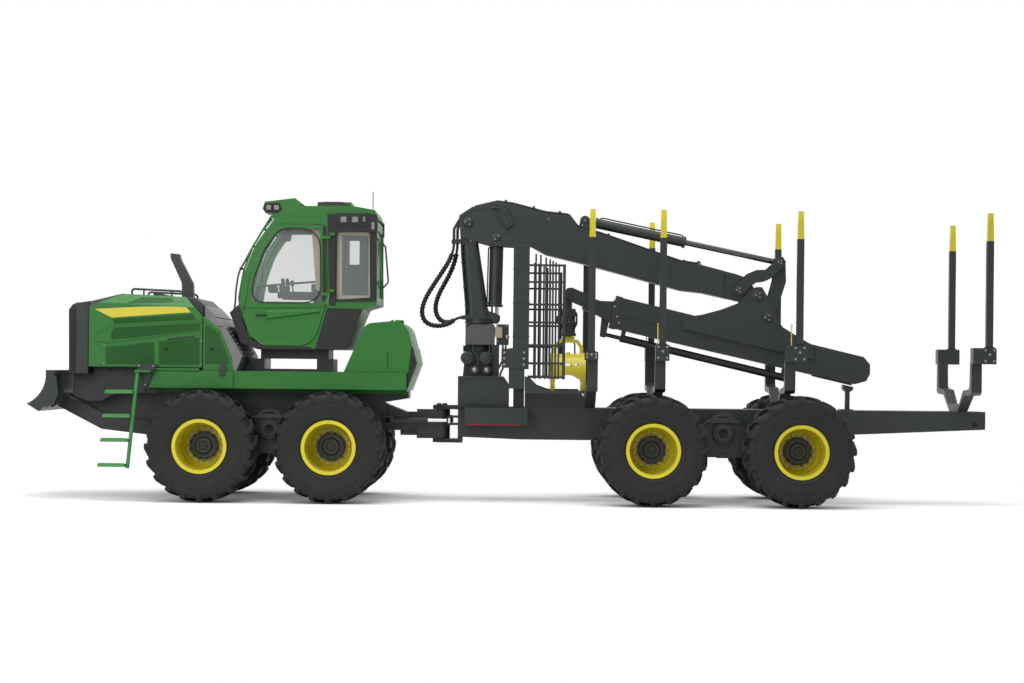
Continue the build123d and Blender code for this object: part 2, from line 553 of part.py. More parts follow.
# Roof: a cap that overhangs the shell, with lamp housings
ROOF_FOOT = 3850 + SEAT_GAP
with BuildPart() as cab_roof:
    add(slab([(-3320, ROOF_FOOT), (-3250, 3950), (-2950, 4005), (-2220, 4015), (-1905, 3960), (-1860, ROOF_FOOT)],
             -760, 760))
    add(block(-2720, -2260, -300, 300, 4005, 4095))
    pod = [(-3390, 3905), (-3430, 3965), (-3400, 4060), (-2990, 4112), (-2900, 4040), (-2950, 3960), (-3200, 3900)]
    for y_low, y_high in ((-760, -300), (300, 760)):
        add(slab(pod, y_low, y_high))
        add(slab([(-3400, 3920), (-3400, 4020), (-3200, 4030), (-3200, 3920)], y_low + 40, y_low + 190),
            mode=Mode.SUBTRACT)
        add(slab([(-3400, 3920), (-3400, 4020), (-3200, 4030), (-3200, 3920)], y_high - 190, y_high - 40),
            mode=Mode.SUBTRACT)
finish(cab_roof.part, "cab_roof")

# Cab door: green lower panel and a tall window, hinged on the rear pillar
DOOR_GAP = 8.0
with BuildPart() as cab_door:
    with BuildSketch(side(-CAB_HALF + CAB_WALL - 10)):
        with BuildLine():
            FilletPolyline(*DOOR, radius=DOOR_R, close=True)
        make_face()
        offset(amount=-DOOR_GAP, kind=Kind.INTERSECTION)
        with BuildLine():
            FilletPolyline(*WINDOW, radius=WINDOW_R, close=True)
        make_face(mode=Mode.SUBTRACT)
    extrude(amount=CAB_WALL - 10)
    for hinge_z in DOOR_HINGES:
        add(block(-2625, -2580, DOOR_AXIS[1] - 13, -CAB_HALF, hinge_z, hinge_z + 40))
        add(block(-2625, DOOR_AXIS[0], DOOR_AXIS[1] - 13, -CAB_HALF - RUN_GAP, hinge_z, hinge_z + 40))
        add(bar((DOOR_AXIS[0], DOOR_AXIS[1], hinge_z), (DOOR_AXIS[0], DOOR_AXIS[1], hinge_z + 40), 13))
        add(bar((DOOR_AXIS[0], DOOR_AXIS[1], hinge_z - 1), (DOOR_AXIS[0], DOOR_AXIS[1], hinge_z + 41), 6 + PIN_GAP),
            mode=Mode.SUBTRACT)
finish(cab_door.part, "cab_door")

# Glass: thin panes set in the walls
PANE = 8.0
with BuildPart() as door_glass:
    with BuildSketch(side(-CAB_HALF + 30)):
        with BuildLine():
            FilletPolyline(*WINDOW, radius=WINDOW_R, close=True)
        make_face()
        offset(amount=-SEAT_GAP, kind=Kind.INTERSECTION)
    extrude(amount=PANE)
finish(door_glass.part, "door_glass")

with BuildPart() as cab_glass:
    with BuildSketch(side(CAB_HALF - 25)):
        with BuildLine():
            FilletPolyline(*WINDOW, radius=WINDOW_R, close=True)
        make_face()
        offset(amount=-SEAT_GAP, kind=Kind.INTERSECTION)
    extrude(amount=PANE)
    for glass_y in (CAB_HALF - 25, -CAB_HALF + 33):
        with BuildSketch(side(glass_y)):
            with BuildLine():
                FilletPolyline(*REAR_WINDOW, radius=REAR_WINDOW_R, close=True)
            make_face()
            offset(amount=-SEAT_GAP, kind=Kind.INTERSECTION)
        extrude(amount=PANE)
    pane_half = CAB_HALF - CAB_WALL - 30 - SEAT_GAP
    add(slab([(-3670, 2740.3), (-3662, 3020), (-3503, 3450), (-3318, 3699.7), (-3308, 3699.7), (-3493, 3445),
              (-3652, 3017), (-3660, 2740.3)], -pane_half, pane_half))
    add(block(-1900, -1890, -pane_half, pane_half, 2780 + SEAT_GAP, 3700 - SEAT_GAP))
finish(cab_glass.part, "cab_glass")

# Seat and arm consoles inside the cab
with BuildPart() as seat:
    add(block(-2950, -2450, -260, 260, 2120, 2560))
    add(rounded([(-3050, 2560), (-2400, 2560), (-2330, 3250), (-2450, 3300), (-2540, 2700), (-3050, 2680)], 35,
                -250, 250))
    for sign in (-1, 1):
        inner = min(sign * 280, sign * 420)
        add(block(-3250, -2650, inner, inner + 140, 2760, 2850))
        add(block(-2760, -2660, min(sign * 240, sign * 400), max(sign * 240, sign * 400), 2400, 2780))
finish(seat.part, "seat")

# Blade: the dozer plate and its arms, which lift on a pivot at the frame
with BuildPart() as blade:
    with BuildSketch(side(1230)):
        with BuildLine():
            ThreePointArc((-6260, 1742), (-6305, 1480), (-6510, 1290))
            Line((-6510, 1290), (-6350, 1190))
            ThreePointArc((-6350, 1190), (-6165, 1420), (-6180, 1742))
            Line((-6180, 1742), (-6260, 1742))
        make_face()
    extrude(amount=2460)
    for rib_y in (-1215, -820, 820, 1215):
        add(slab([(-6260, 1230), (-6190, 1700), (-6120, 1660), (-6090, 1420), (-6150, 1290)], rib_y - 12, rib_y + 12))
    add(block(-6200, -6130, -1230, 1230, 1690, 1742))
    arm = [(-6250, 1450), (-6250, 1250), (-5650, 940), (-5000, 865), (-4930, 900), (-4920, 1000), (-5000, 1045),
           (-5600, 1150), (-5900, 1290)]
    for sign in (-1, 1):
        inner = sign * (FRAME_HALF + 10)
        outer = sign * (FRAME_HALF + 110)
        add(slab(arm, min(inner, outer), max(inner, outer)))
        add(pin(BLADE_PIVOT, 40 + SEAT_GAP, min(inner, outer) - 1, max(inner, outer) + 1), mode=Mode.SUBTRACT)
finish(blade.part, "blade")

# Ladder: steps on a hinged rail at the left side
with BuildPart() as ladder:
    add(bar(LADDER_HEAD, LADDER_FOOT, LADDER_R))
    for step_z, low_x in ((1460, -5440), (1140, -5468), (815, -5496), (480, -5530)):
        add(block(low_x, -5050 - (1720 - step_z) * 0.098, -1370, -1240, step_z - 20, step_z + 20))
finish(ladder.part, "ladder")

# Column: neck, leaning mast, cylinder lug and head
with BuildPart() as column:
    add(bar((SLEW_X, 0, PEDESTAL_TOP + RUN_GAP), (SLEW_X, 0, PEDESTAL_TOP + 70), PEDESTAL_R))
    for mast_z, mast_x, mast_long in ((PEDESTAL_TOP + 60, -480, 360), (2665, -510, 292), (3640, -632, 226)):
        with BuildSketch(Plane(origin=(mast_x, 0, mast_z))):
            RectangleRounded(mast_long, 2 * COLUMN_HALF, 80)
    loft(ruled=True)
    add(slab([(-520, 3640), (-560, 3930), (-600, 3960), (-700, 3960), (-745, 3900), (-745, 3640), (-725, 3540),
              (-530, 3540)], -COLUMN_HALF, COLUMN_HALF))
    lug = [(-400, PEDESTAL_TOP + RUN_GAP + 3), (-230, PEDESTAL_TOP + RUN_GAP + 3), (-195, 2490), (-195, 2560),
           (-250, 2590), (-420, 2640)]
    add(slab(lug, -95, -60))
    add(slab(lug, 60, 95))
    add(block(-385, -190, -56, 56, PEDESTAL_TOP + RUN_GAP, 2700), mode=Mode.SUBTRACT)
    add(bar((SLEW_X, 0, PEDESTAL_TOP), (SLEW_X, 0, PEDESTAL_TOP + 65), SLEW_SPIGOT_R + SEAT_GAP),
        mode=Mode.SUBTRACT)
    for low_y in (-110, 60):
        add(pin(LIFT_FOOT, 45, low_y, low_y + 50))
    add(pin(BOOM_PIN, 70, -BOOM_HALF - 20, BOOM_HALF + 20))
    add(block(-880, -740, -110, 110, 3560, 3600))
    add(block(-700, -590, -110, 110, 2500, 2560))
finish(column.part, "column")

# Main boom: cheeks at the root, then a box that tapers towards the knee
BOOM_OUT = [(-775, 3940), (-595, 4060), (-240, 4135), (-25, 4105), (425, 3990), (760, 3955), (870, 3800),
            (1210, 3700), (2300, 3330), (2565, 3295), (3065, 3170), (3240, 3110), (3330, 2965), (3480, 2875),
            (3420, 2790), (3115, 2790), (2595, 2900), (2305, 2930), (955, 3285), (430, 3410), (195, 3540),
            (-25, 3510), (-335, 3525), (-755, 3640)]
with BuildPart() as main_boom:
    add(slab(BOOM_OUT, -BOOM_HALF, BOOM_HALF))
    inner_half = BOOM_HALF - CHEEK
    add(slab([(-900, 3400), (-900, 4080), (-560, 4035), (-240, 4105), (60, 4060), (60, 3400)],
             -inner_half, inner_half), mode=Mode.SUBTRACT)
    add(slab([(2900, 2700), (2900, 3400), (3600, 3300), (3600, 2700)], -BOOM_HALF - 1, -120),
        mode=Mode.SUBTRACT)
    add(slab([(2900, 2700), (2900, 3400), (3600, 3300), (3600, 2700)], 120, BOOM_HALF + 1),
        mode=Mode.SUBTRACT)
    add(pin(KNEE_PIN, 100, -120, 120))
    add(pin(LIFT_TOP, 45, -BOOM_HALF, BOOM_HALF))
    add(pin(ROCKER_PIN, 45, -200, 200))
    add(pin(BOOM_PIN, 70 + SEAT_GAP, -200, 200), mode=Mode.SUBTRACT)
    add(pin(KNEE_PIN, 55, -170, 170))
    foot_ear = [(880, 3790), (1060, 3730), (1030, 3920), (973, 3960), (920, 3930)]
    add(slab(foot_ear, -85, -55))
    add(slab(foot_ear, 55, 85))
    add(pin(FOLD_FOOT, 35, -90, 90))
finish(main_boom.part, "main_boom")

# Lift cylinder: its barrel hangs from the boom and its rod stands on the column's lug
LIFT_ROD_R = 55.0
LIFT_BARREL_R = 95.0
with BuildPart() as lift_barrel:
    top = along(LIFT_TOP, LIFT_FOOT, 90)
    low = along(LIFT_TOP, LIFT_FOOT, 960)
    add(bar((top[0], 0, top[1]), (low[0], 0, low[1]), LIFT_BARREL_R))
    add(pin(LIFT_TOP, 95, -50, 50))
    add(bar((along(LIFT_TOP, LIFT_FOOT, 300)[0], 0, along(LIFT_TOP, LIFT_FOOT, 300)[1]), (low[0], 0, low[1]),
            LIFT_ROD_R + SEAT_GAP), mode=Mode.SUBTRACT)
    add(pin(LIFT_TOP, 45 + PIN_GAP, -60, 60), mode=Mode.SUBTRACT)
finish(lift_barrel.part, "lift_barrel")

with BuildPart() as lift_rod:
    rod_in = along(LIFT_TOP, LIFT_FOOT, 310)
    add(bar((rod_in[0], 0, rod_in[1]), (LIFT_FOOT[0], 0, LIFT_FOOT[1]), LIFT_ROD_R))
    add(pin(LIFT_FOOT, 60, -50, 50))
finish(lift_rod.part, "lift_rod")

# Fold cylinder: it lies on the boom and works the knee linkage
FOLD_BARREL_R = 70.0
FOLD_ROD_R = 39.0
FOLD_REST = math.dist(FOLD_FOOT, LINK_PIN)
with BuildPart() as fold_barrel:
    add(pin(FOLD_FOOT, 70, -48, 48))
    start = along(FOLD_FOOT, LINK_PIN, 50)
    barrel_end = along(FOLD_FOOT, LINK_PIN, 1430)
    neck_end = along(FOLD_FOOT, LINK_PIN, 170)
    add(bar((start[0], 0, start[1]), (neck_end[0], 0, neck_end[1]), 42))
    add(bar((neck_end[0], 0, neck_end[1]), (barrel_end[0], 0, barrel_end[1]), FOLD_BARREL_R))
    bore_start = along(FOLD_FOOT, LINK_PIN, 180)
    add(bar((bore_start[0], 0, bore_start[1]), (barrel_end[0], 0, barrel_end[1]), FOLD_ROD_R + SEAT_GAP),
        mode=Mode.SUBTRACT)
    add(pin(FOLD_FOOT, 35 + PIN_GAP, -60, 60), mode=Mode.SUBTRACT)
finish(fold_barrel.part, "fold_barrel")

with BuildPart() as fold_rod:
    rod_start = along(FOLD_FOOT, LINK_PIN, 600)
    add(bar((rod_start[0], 0, rod_start[1]), (LINK_PIN[0], 0, LINK_PIN[1]), FOLD_ROD_R))
    add(pin(LINK_PIN, 85, -48, 48))
    add(pin(LINK_PIN, 58, -60, 60), mode=Mode.SUBTRACT)
finish(fold_rod.part, "fold_rod")

# Knee rocker: two curved plates from the boom to the link pin
ROCKER_LAYER = (170.0, 195.0)
with BuildPart() as knee_rocker:
    banana = [(3030, 2960), (3130, 3080), (3250, 3185), (3345, 3225), (3490, 3230), (3600, 3330), (3640, 3410),
              (3710, 3410), (3755, 3340), (3720, 3270), (3560, 3120), (3480, 3075), (3360, 3060), (3250, 2985),
              (3185, 2910), (3105, 2865), (3040, 2890)]
    add(slab(banana, -ROCKER_LAYER[1], -ROCKER_LAYER[0]))
    mirror(about=Plane.XZ)
    add(pin(LINK_PIN, 40, -ROCKER_LAYER[1], -60))
    add(pin(LINK_PIN, 40, 60, ROCKER_LAYER[1]))
    add(pin(LINK_PIN, 25, -60, 60))
    add(pin(ROCKER_PIN, 45 + SEAT_GAP, -201, 201), mode=Mode.SUBTRACT)
finish(knee_rocker.part, "knee_rocker")

# Knee link: two plates from the link pin down to the jib's bracket
LINK_LAYER = (95.0, 125.0)
with BuildPart() as knee_link:
    strap = [(3600, 3300), (3620, 3400), (3700, 3410), (3755, 3350), (3765, 3070), (3700, 2860), (3590, 2560),
             (3560, 2500), (3480, 2490), (3440, 2550), (3560, 2980), (3590, 3100)]
    add(slab(strap, -LINK_LAYER[1], -LINK_LAYER[0]))
    mirror(about=Plane.XZ)
    add(pin((3640, 2950), 30, -LINK_LAYER[0], LINK_LAYER[0]))
    add(pin(LINK_PIN, 40 + SEAT_GAP, -130, 130), mode=Mode.SUBTRACT)
finish(knee_link.part, "knee_link")

# Jib: a sloped box with the knee bracket, open at its front for the sliding beam
slope = math.radians(JIB_SLOPE)


def jib_side(y):
    """Side plane that follows the jib: local x runs to the tail along its axis."""
    return Plane(origin=(JIB_START[0], y, JIB_START[1]), x_dir=(math.cos(slope), 0, -math.sin(slope)),
                 z_dir=(0, -1, 0))


def jib_slab(points, y_low, y_high):
    """An outline in the jib's own axes, extruded from y_low to y_high."""
    with BuildPart() as body:
        with BuildSketch(jib_side(y_high)):
            Polygon(*points, align=None)
        extrude(amount=y_high - y_low)
    return body.part


def jib_point(u, v):
    """The point at u along the jib and v above its axis, on the centre plane."""
    return (JIB_START[0] + u * math.cos(slope) + v * math.sin(slope), 0,
            JIB_START[1] - u * math.sin(slope) + v * math.cos(slope))


half_height = JIB_HEIGHT / 2
REACH_V = -half_height - 107
REACH_END = 2560.0
REACH_BARREL_R = 52.0
REACH_ROD_R = 28.0
TAIL = JIB_LENGTH
with BuildPart() as jib:
    add(jib_slab([(0, -half_height), (0, half_height), (TAIL - 110, half_height - 10), (TAIL, 130), (TAIL + 30, 0),
                  (TAIL, -110), (TAIL - 140, -185), (TAIL - 1000, -half_height + 20), (700, -half_height)],
                 -JIB_HALF, JIB_HALF))
    cavity = BEAM_HEIGHT / 2 + RUN_GAP
    add(jib_slab([(-10, -cavity), (-10, cavity), (TAIL - 200, cavity), (TAIL - 200, -cavity)],
                 -BEAM_HALF - RUN_GAP, BEAM_HALF + RUN_GAP), mode=Mode.SUBTRACT)
    add(jib_slab([(0, -half_height - 10), (0, half_height + 10), (90, half_height + 10),
                  (90, -half_height - 10)], -JIB_HALF - 12, JIB_HALF + 12))
    add(jib_slab([(-1, -cavity), (-1, cavity), (100, cavity), (100, -cavity)],
                 -BEAM_HALF - RUN_GAP, BEAM_HALF + RUN_GAP), mode=Mode.SUBTRACT)
    bracket = [(2330, 2560), (2600, 2600), (2890, 2680), (3120, 2770), (3270, 2960), (3350, 2990), (3430, 2990),
               (3600, 2700), (3640, 2560), (3720, 2440), (4000, 2270), (4150, 2190), (4150, 1990), (2330, 2400)]
    for layer in ((-165, -135), (135, 165)):
        add(slab(bracket, layer[0], layer[1]))
    for layer in ((-135, -120), (120, 135)):
        add(slab([(2340, 2560), (2340, 2400), (4140, 1990), (4140, 2170)], layer[0], layer[1]))
    add(pin(BRACKET_PIN, 70, 130, 185))
    add(pin(BRACKET_PIN, 70, -185, -130))
    add(pin(KNEE_PIN, 55 + SEAT_GAP, -180, 180), mode=Mode.SUBTRACT)
    add(jib_slab([(190, -half_height + 1), (250, -half_height + 1), (250, REACH_V), (190, REACH_V)], -40, 40))
    add(jib_slab([(REACH_END - 80, -half_height + 60), (REACH_END + 60, -half_height + 60), (REACH_END + 60, REACH_V),
                  (REACH_END - 80, REACH_V)], -40, 40))
    with BuildSketch(Plane(origin=jib_point(190, REACH_V), z_dir=(math.cos(slope), 0, -math.sin(slope)))):
        Circle(REACH_BARREL_R)
    extrude(amount=REACH_END - 190)
    with BuildSketch(Plane(origin=jib_point(189, REACH_V), z_dir=(math.cos(slope), 0, -math.sin(slope)))):
        Circle(REACH_ROD_R + SEAT_GAP)
    extrude(amount=REACH_END - 340, mode=Mode.SUBTRACT)
finish(jib.part, "jib")

# Sliding beam: runs inside the jib and carries the tip fork
with BuildPart() as beam:
    lift = BEAM_HEIGHT / 2
    add(jib_slab([(-200, -95), (-420, -60), (-420, 130), (-200, 110), (0, lift), (2900, lift), (2900, -lift),
                  (0, -lift)], -BEAM_HALF, BEAM_HALF))
    add(slab([(700, 2885), (730, 2950), (800, 2960), (990, 2880), (990, 2680), (800, 2760), (710, 2830)],
             -BEAM_HALF, BEAM_HALF))
    add(slab([(600, 2600), (600, 3100), (862, 3000), (862, 2600)], -48, 48), mode=Mode.SUBTRACT)
    add(pin(TIP_PIN, 32, -BEAM_HALF - 12, BEAM_HALF + 12))
    add(jib_slab([(-130, -100), (-12, -130), (-12, REACH_V - 45), (-90, REACH_V - 45)], -40, 40))
    with BuildSketch(Plane(origin=jib_point(-60, REACH_V), z_dir=(math.cos(slope), 0, -math.sin(slope)))):
        Circle(REACH_ROD_R)
    extrude(amount=REACH_END - 440)
finish(beam.part, "sliding_beam")

# Tip link: hangs from the beam's fork and carries the rotator
ROTATOR_X = 760.0
ROTATOR_SPIGOT_R = 55.0
ROTATOR_FOOT = 2285.0
ROTATOR_R = 92.0
with BuildPart() as tip_link:
    add(pin(TIP_PIN, 62, -42, 42))
    add(block(ROTATOR_X - 45, ROTATOR_X + 45, -42, 42, 2660, 2860))
    add(block(ROTATOR_X - 95, ROTATOR_X + 95, -95, 95, 2560, 2665))
    add(bar((ROTATOR_X, 0, ROTATOR_FOOT), (ROTATOR_X, 0, 2580), ROTATOR_R))
    for collar_z in (ROTATOR_FOOT, 2440):
        add(bar((ROTATOR_X, 0, collar_z), (ROTATOR_X, 0, collar_z + 40), ROTATOR_R + 14))
    add(pin(TIP_PIN, 32 + PIN_GAP, -60, 60), mode=Mode.SUBTRACT)
    add(bar((ROTATOR_X, 0, ROTATOR_FOOT - 1), (ROTATOR_X, 0, ROTATOR_FOOT + 70), ROTATOR_SPIGOT_R + SEAT_GAP),
        mode=Mode.SUBTRACT)
finish(tip_link.part, "tip_link")

# Grapple head: the yellow hoop under the rotator and the cross member with the jaw pins
JAW_PIN = (150.0, 1980.0)
JAW_PIN_R = 30.0
HOOP_OUT = [(545, 1950), (545, 2130), (625, 2240), (895, 2240), (965, 2130), (965, 1950)]
HOOP_IN = [(597, 1940), (597, 2120), (650, 2195), (870, 2195), (915, 2120), (915, 1940)]
with BuildPart() as grapple_head:
    add(rounded(HOOP_OUT, [10, 60, 60, 60, 60, 10], -75, 75))
    add(rounded(HOOP_IN, [1, 40, 40, 40, 40, 1], -76, 76), mode=Mode.SUBTRACT)
    add(bar((ROTATOR_X, 0, 2238), (ROTATOR_X, 0, ROTATOR_FOOT - RUN_GAP), 85))
    add(bar((ROTATOR_X, 0, 2270), (ROTATOR_X, 0, ROTATOR_FOOT + 65), ROTATOR_SPIGOT_R))
    add(block(582, 928, -190, 190, 1925, 2010))
    add(block(545, 965, -75, 75, 1925, 2010))
    add(block(730, 790, -20, 20, 2005, 2060))
    for hinge_y in (-JAW_PIN[0], JAW_PIN[0]):
        add(bar((505, hinge_y, JAW_PIN[1]), (1005, hinge_y, JAW_PIN[1]), JAW_PIN_R))
finish(grapple_head.part, "grapple_head")

# Jaws: two curved arms each, joined by a plate with an arch under it
JAW_ARMS = [(515.0, 575.0), (935.0, 995.0)]
for side_name, sign in (("left", -1), ("right", 1)):
    with BuildPart() as jaw:
        with BuildSketch(Plane(origin=(JAW_ARMS[0][0], 0, 0), x_dir=(0, 1, 0), z_dir=(1, 0, 0))) as jaw_face:
            with BuildLine():
                Polyline((sign * 150, 2050), (sign * 90, 1990), (sign * 130, 1915))
                ThreePointArc((sign * 130, 1915), (sign * 240, 1905), (sign * 345, 1775))
                ThreePointArc((sign * 345, 1775), (sign * 240, 1600), (sign * 5, 1530))
                Polyline((sign * 5, 1530), (sign * 5, 1512), (sign * 200, 1512))
                ThreePointArc((sign * 200, 1512), (sign * 370, 1610), (sign * 425, 1790))
                ThreePointArc((sign * 425, 1790), (sign * 360, 1950), (sign * 240, 2040))
                Line((sign * 240, 2040), (sign * 150, 2050))
            make_face()
        extrude(amount=JAW_ARMS[1][1] - JAW_ARMS[0][0])
        add(block(JAW_ARMS[0][1], JAW_ARMS[1][0], -450, 450, 1500, 1690), mode=Mode.SUBTRACT)
        add(block(JAW_ARMS[0][1], JAW_ARMS[1][0], min(0, sign * 250), max(0, sign * 250), 1500, 2060),
            mode=Mode.SUBTRACT)
        with BuildSketch(side(450)):
            with BuildLine():
                Line((JAW_ARMS[0][1] - 5, 1600), (JAW_ARMS[0][1] - 5, 1650))
                ThreePointArc((JAW_ARMS[0][1] - 5, 1650), (755, 1745), (JAW_ARMS[1][0] + 5, 1650))
                Polyline((JAW_ARMS[1][0] + 5, 1650), (JAW_ARMS[1][0] + 5, 1600), (JAW_ARMS[0][1] - 5, 1600))
            make_face()
        extrude(amount=900, mode=Mode.SUBTRACT)
        for slot_x, slot_half in ((655, 15), (756, 43), (868, 21)):
            add(block(slot_x - slot_half, slot_x + slot_half, -450, 450, 1875, 1903), mode=Mode.SUBTRACT)
        add(bar((500, sign * JAW_PIN[0], JAW_PIN[1]), (1010, sign * JAW_PIN[0], JAW_PIN[1]), JAW_PIN_R + PIN_GAP),
            mode=Mode.SUBTRACT)
    finish(jaw.part, "jaw_" + side_name)

# Steering cylinders: one each side of the articulation
STEER_BARREL_R = 38.0
STEER_ROD_R = 24.0
for side_name, sign in (("left", -1), ("right", 1)):
    foot = (STEER_FRONT[0], sign * STEER_FRONT[1])
    eye = (STEER_REAR[0], sign * STEER_REAR[1])
    places = {}
    for name, distance in (("barrel_start", 40), ("bore_start", 60), ("rod_start", 262), ("barrel_end", 500)):
        point = along(foot, eye, distance)
        places[name] = (point[0], point[1], STEER_CYL_Z)
    with BuildPart() as barrel:
        add(bar((foot[0], foot[1], STEER_CYL_Z - 34), (foot[0], foot[1], STEER_CYL_Z + 34), 48))
        add(bar(places["barrel_start"], places["barrel_end"], STEER_BARREL_R))
        add(bar(places["bore_start"], places["barrel_end"], STEER_ROD_R + SEAT_GAP), mode=Mode.SUBTRACT)
        add(bar((foot[0], foot[1], STEER_CYL_Z - 40), (foot[0], foot[1], STEER_CYL_Z + 40), 26 + PIN_GAP),
            mode=Mode.SUBTRACT)
    finish(barrel.part, "steer_barrel_" + side_name)
    with BuildPart() as rod:
        add(bar(places["rod_start"], (eye[0], eye[1], STEER_CYL_Z), STEER_ROD_R))
        add(bar((eye[0], eye[1], STEER_CYL_Z - 34), (eye[0], eye[1], STEER_CYL_Z + 34), 45))
    finish(rod.part, "steer_rod_" + side_name)

# Crane hoses: free loops from the bracket at the column's head down to its neck
HOSE_R = 19.0
HOSES = {"outer": [(-846, -60, 3560), (-846, -60, 3500), (-872, -75, 3400), (-920, -95, 3290),
                   (-1000, -110, 3160), (-1090, -120, 3020), (-1180, -125, 2880), (-1255, -125, 2730),
                   (-1285, -120, 2580), (-1230, -110, 2450), (-1090, -95, 2400), (-930, -80, 2425),
                   (-830, -66, 2490), (-770, -60, 2530), (-700, -60, 2530)],
         "inner": [(-800, 60, 3560), (-800, 60, 3500), (-815, 70, 3400), (-845, 85, 3280),
                   (-900, 95, 3140), (-975, 100, 3000), (-1050, 100, 2860), (-1100, 95, 2710),
                   (-1090, 85, 2570), (-1010, 75, 2470), (-900, 68, 2460), (-830, 62, 2495),
                   (-770, 60, 2530), (-700, 60, 2530)]}


def corner_radius(before, point, after):
    """The largest arc that two runs of the route leave room for."""
    first = Vector(*point) - Vector(*before)
    second = Vector(*after) - Vector(*point)
    turn = math.radians(first.get_angle(second))
    return 0.45 * min(first.length, second.length) / math.tan(turn / 2)


for hose_name, route in HOSES.items():
    radii = [corner_radius(*route[i - 1:i + 2]) for i in range(1, len(route) - 1)]
    print(hose_name, "hose radii", [round(radius) for radius in radii])
    with BuildPart() as hose:
        with BuildLine() as hose_line:
            FilletPolyline(*route, radius=radii)
        with BuildSketch(Plane(origin=route[0], z_dir=Vector(*route[1]) - Vector(*route[0]))):
            Circle(HOSE_R)
        sweep(path=hose_line.wires()[0])
    length = hose_line.wires()[0].length
    print(hose_name, "hose length", round(length), "fill", hose.part.volume / (math.pi * HOSE_R ** 2 * length))
    finish(hose.part, "crane_hose_" + hose_name)
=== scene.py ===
"""Forestry forwarder: its finishes, its fine trim and the studio round it."""

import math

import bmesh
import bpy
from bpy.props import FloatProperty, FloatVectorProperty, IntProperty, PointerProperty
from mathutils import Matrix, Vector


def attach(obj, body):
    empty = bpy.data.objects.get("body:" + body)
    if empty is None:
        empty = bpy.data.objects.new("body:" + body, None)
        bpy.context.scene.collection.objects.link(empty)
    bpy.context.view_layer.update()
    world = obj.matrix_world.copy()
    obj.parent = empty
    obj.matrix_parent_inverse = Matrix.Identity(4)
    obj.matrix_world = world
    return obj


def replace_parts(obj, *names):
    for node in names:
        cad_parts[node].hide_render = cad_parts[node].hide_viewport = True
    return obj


bl_info = {
    "name": "Forestry Forwarder",
    "version": (1, 0, 0),
    "blender": (4, 5, 0),
    "location": "View3D > Sidebar > Forwarder",
    "description": "Dresses the forwarder's frame with paint, rubber, glass, trim and a studio",
    "category": "Object",
}

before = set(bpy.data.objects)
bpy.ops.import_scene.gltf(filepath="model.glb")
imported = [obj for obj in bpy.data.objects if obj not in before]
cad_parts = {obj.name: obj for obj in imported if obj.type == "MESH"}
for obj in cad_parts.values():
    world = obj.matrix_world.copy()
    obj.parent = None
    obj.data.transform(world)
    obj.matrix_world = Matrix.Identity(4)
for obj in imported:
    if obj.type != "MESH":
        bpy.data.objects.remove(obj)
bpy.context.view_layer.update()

MM = 0.001
LEFT = (0, -1, 0)
RIGHT = (0, 1, 0)
UP = (0, 0, 1)
CENTRE = (0, 0, 0)


# Colours, sizes and studio values that a user may change


def enamel_colour(name, description, default):
    """A colour in the paint settings."""
    return FloatVectorProperty(name=name, description=description, subtype="COLOR", size=3, min=0, max=1,
                               default=default)


def length(name, description, default, low):
    """A length in metres."""
    return FloatProperty(name=name, description=description, unit="LENGTH", default=default, min=low)


class PaintSettings(bpy.types.PropertyGroup):
    """Colours of the painted and moulded parts."""

    green: enamel_colour("Green", "Enamel of the hood, cab and tank", (0.018, 0.165, 0.018))
    dark: enamel_colour("Dark", "Enamel of the frames and the crane", (0.024, 0.029, 0.029))
    grey: enamel_colour("Grey", "Enamel of the nose and the covers", (0.024, 0.027, 0.028))
    pale_grey: enamel_colour("Pale grey", "Moulded guards behind the hood", (0.21, 0.22, 0.215))
    yellow: enamel_colour("Yellow", "Enamel of the rims, the grapple and the tips", (0.74, 0.64, 0.022))
    beige: enamel_colour("Beige", "Trim inside the cab", (0.50, 0.40, 0.27))


class TrimSettings(bpy.types.PropertyGroup):
    """Sizes of the fine trim."""

    tyre_bars: IntProperty(name="Tyre bars", description="Slanted bars on each half of a tyre", default=20,
                           min=4)
    hose_radius: length("Hose", "Radius of the free hoses", 0.019, 0.005)
    sleeve_radius: length("Sleeve", "Radius of the spiral guards on the free hoses", 0.034, 0.01)
    aerial_top: length("Aerial", "Height of the aerial's tip over the ground", 4.244, 4.0)


class StudioSettings(bpy.types.PropertyGroup):
    """Lamps, floor and camera."""

    sky_strength: FloatProperty(name="Sky", description="Strength of the even light all round",
                                default=0.46, min=0)
    key_power: FloatProperty(name="Key lamp", description="Power of the large lamp overhead", unit="POWER",
                             default=1750, min=0)
    fill_power: FloatProperty(name="Fill lamp", description="Power of the lamp behind the camera",
                              unit="POWER", default=800, min=0)
    floor_size: length("Floor", "Side of the floor", 160, 20)
    lens: FloatProperty(name="Lens", description="Focal length on a sensor 36 mm wide", unit="CAMERA",
                        default=81.88, min=10)


# Shader nodes


def feed(tree, node, values):
    """Link each input of a node to a socket, or give it a value."""
    for key, value in values.items():
        if isinstance(value, bpy.types.NodeSocket):
            tree.links.new(value, node.inputs[key])
        else:
            node.inputs[key].default_value = value


def add_node(tree, kind, values=None, **settings):
    """A node with its settings and inputs."""
    node = tree.nodes.new(kind)
    for key, value in settings.items():
        setattr(node, key, value)
    feed(tree, node, values or {})
    return node


def calculate(tree, operation, first, second, use_clamp=False):
    """One sum on two values."""
    return add_node(tree, "ShaderNodeMath", {0: first, 1: second}, operation=operation,
                    use_clamp=use_clamp).outputs["Value"]


def ramp(tree, value, low, high, to_low=0.0, to_high=1.0, **settings):
    """The value carried from one range to another."""
    return add_node(tree, "ShaderNodeMapRange", {
        "Value": value, "From Min": low, "From Max": high, "To Min": to_low, "To Max": to_high,
    }, **settings).outputs["Result"]


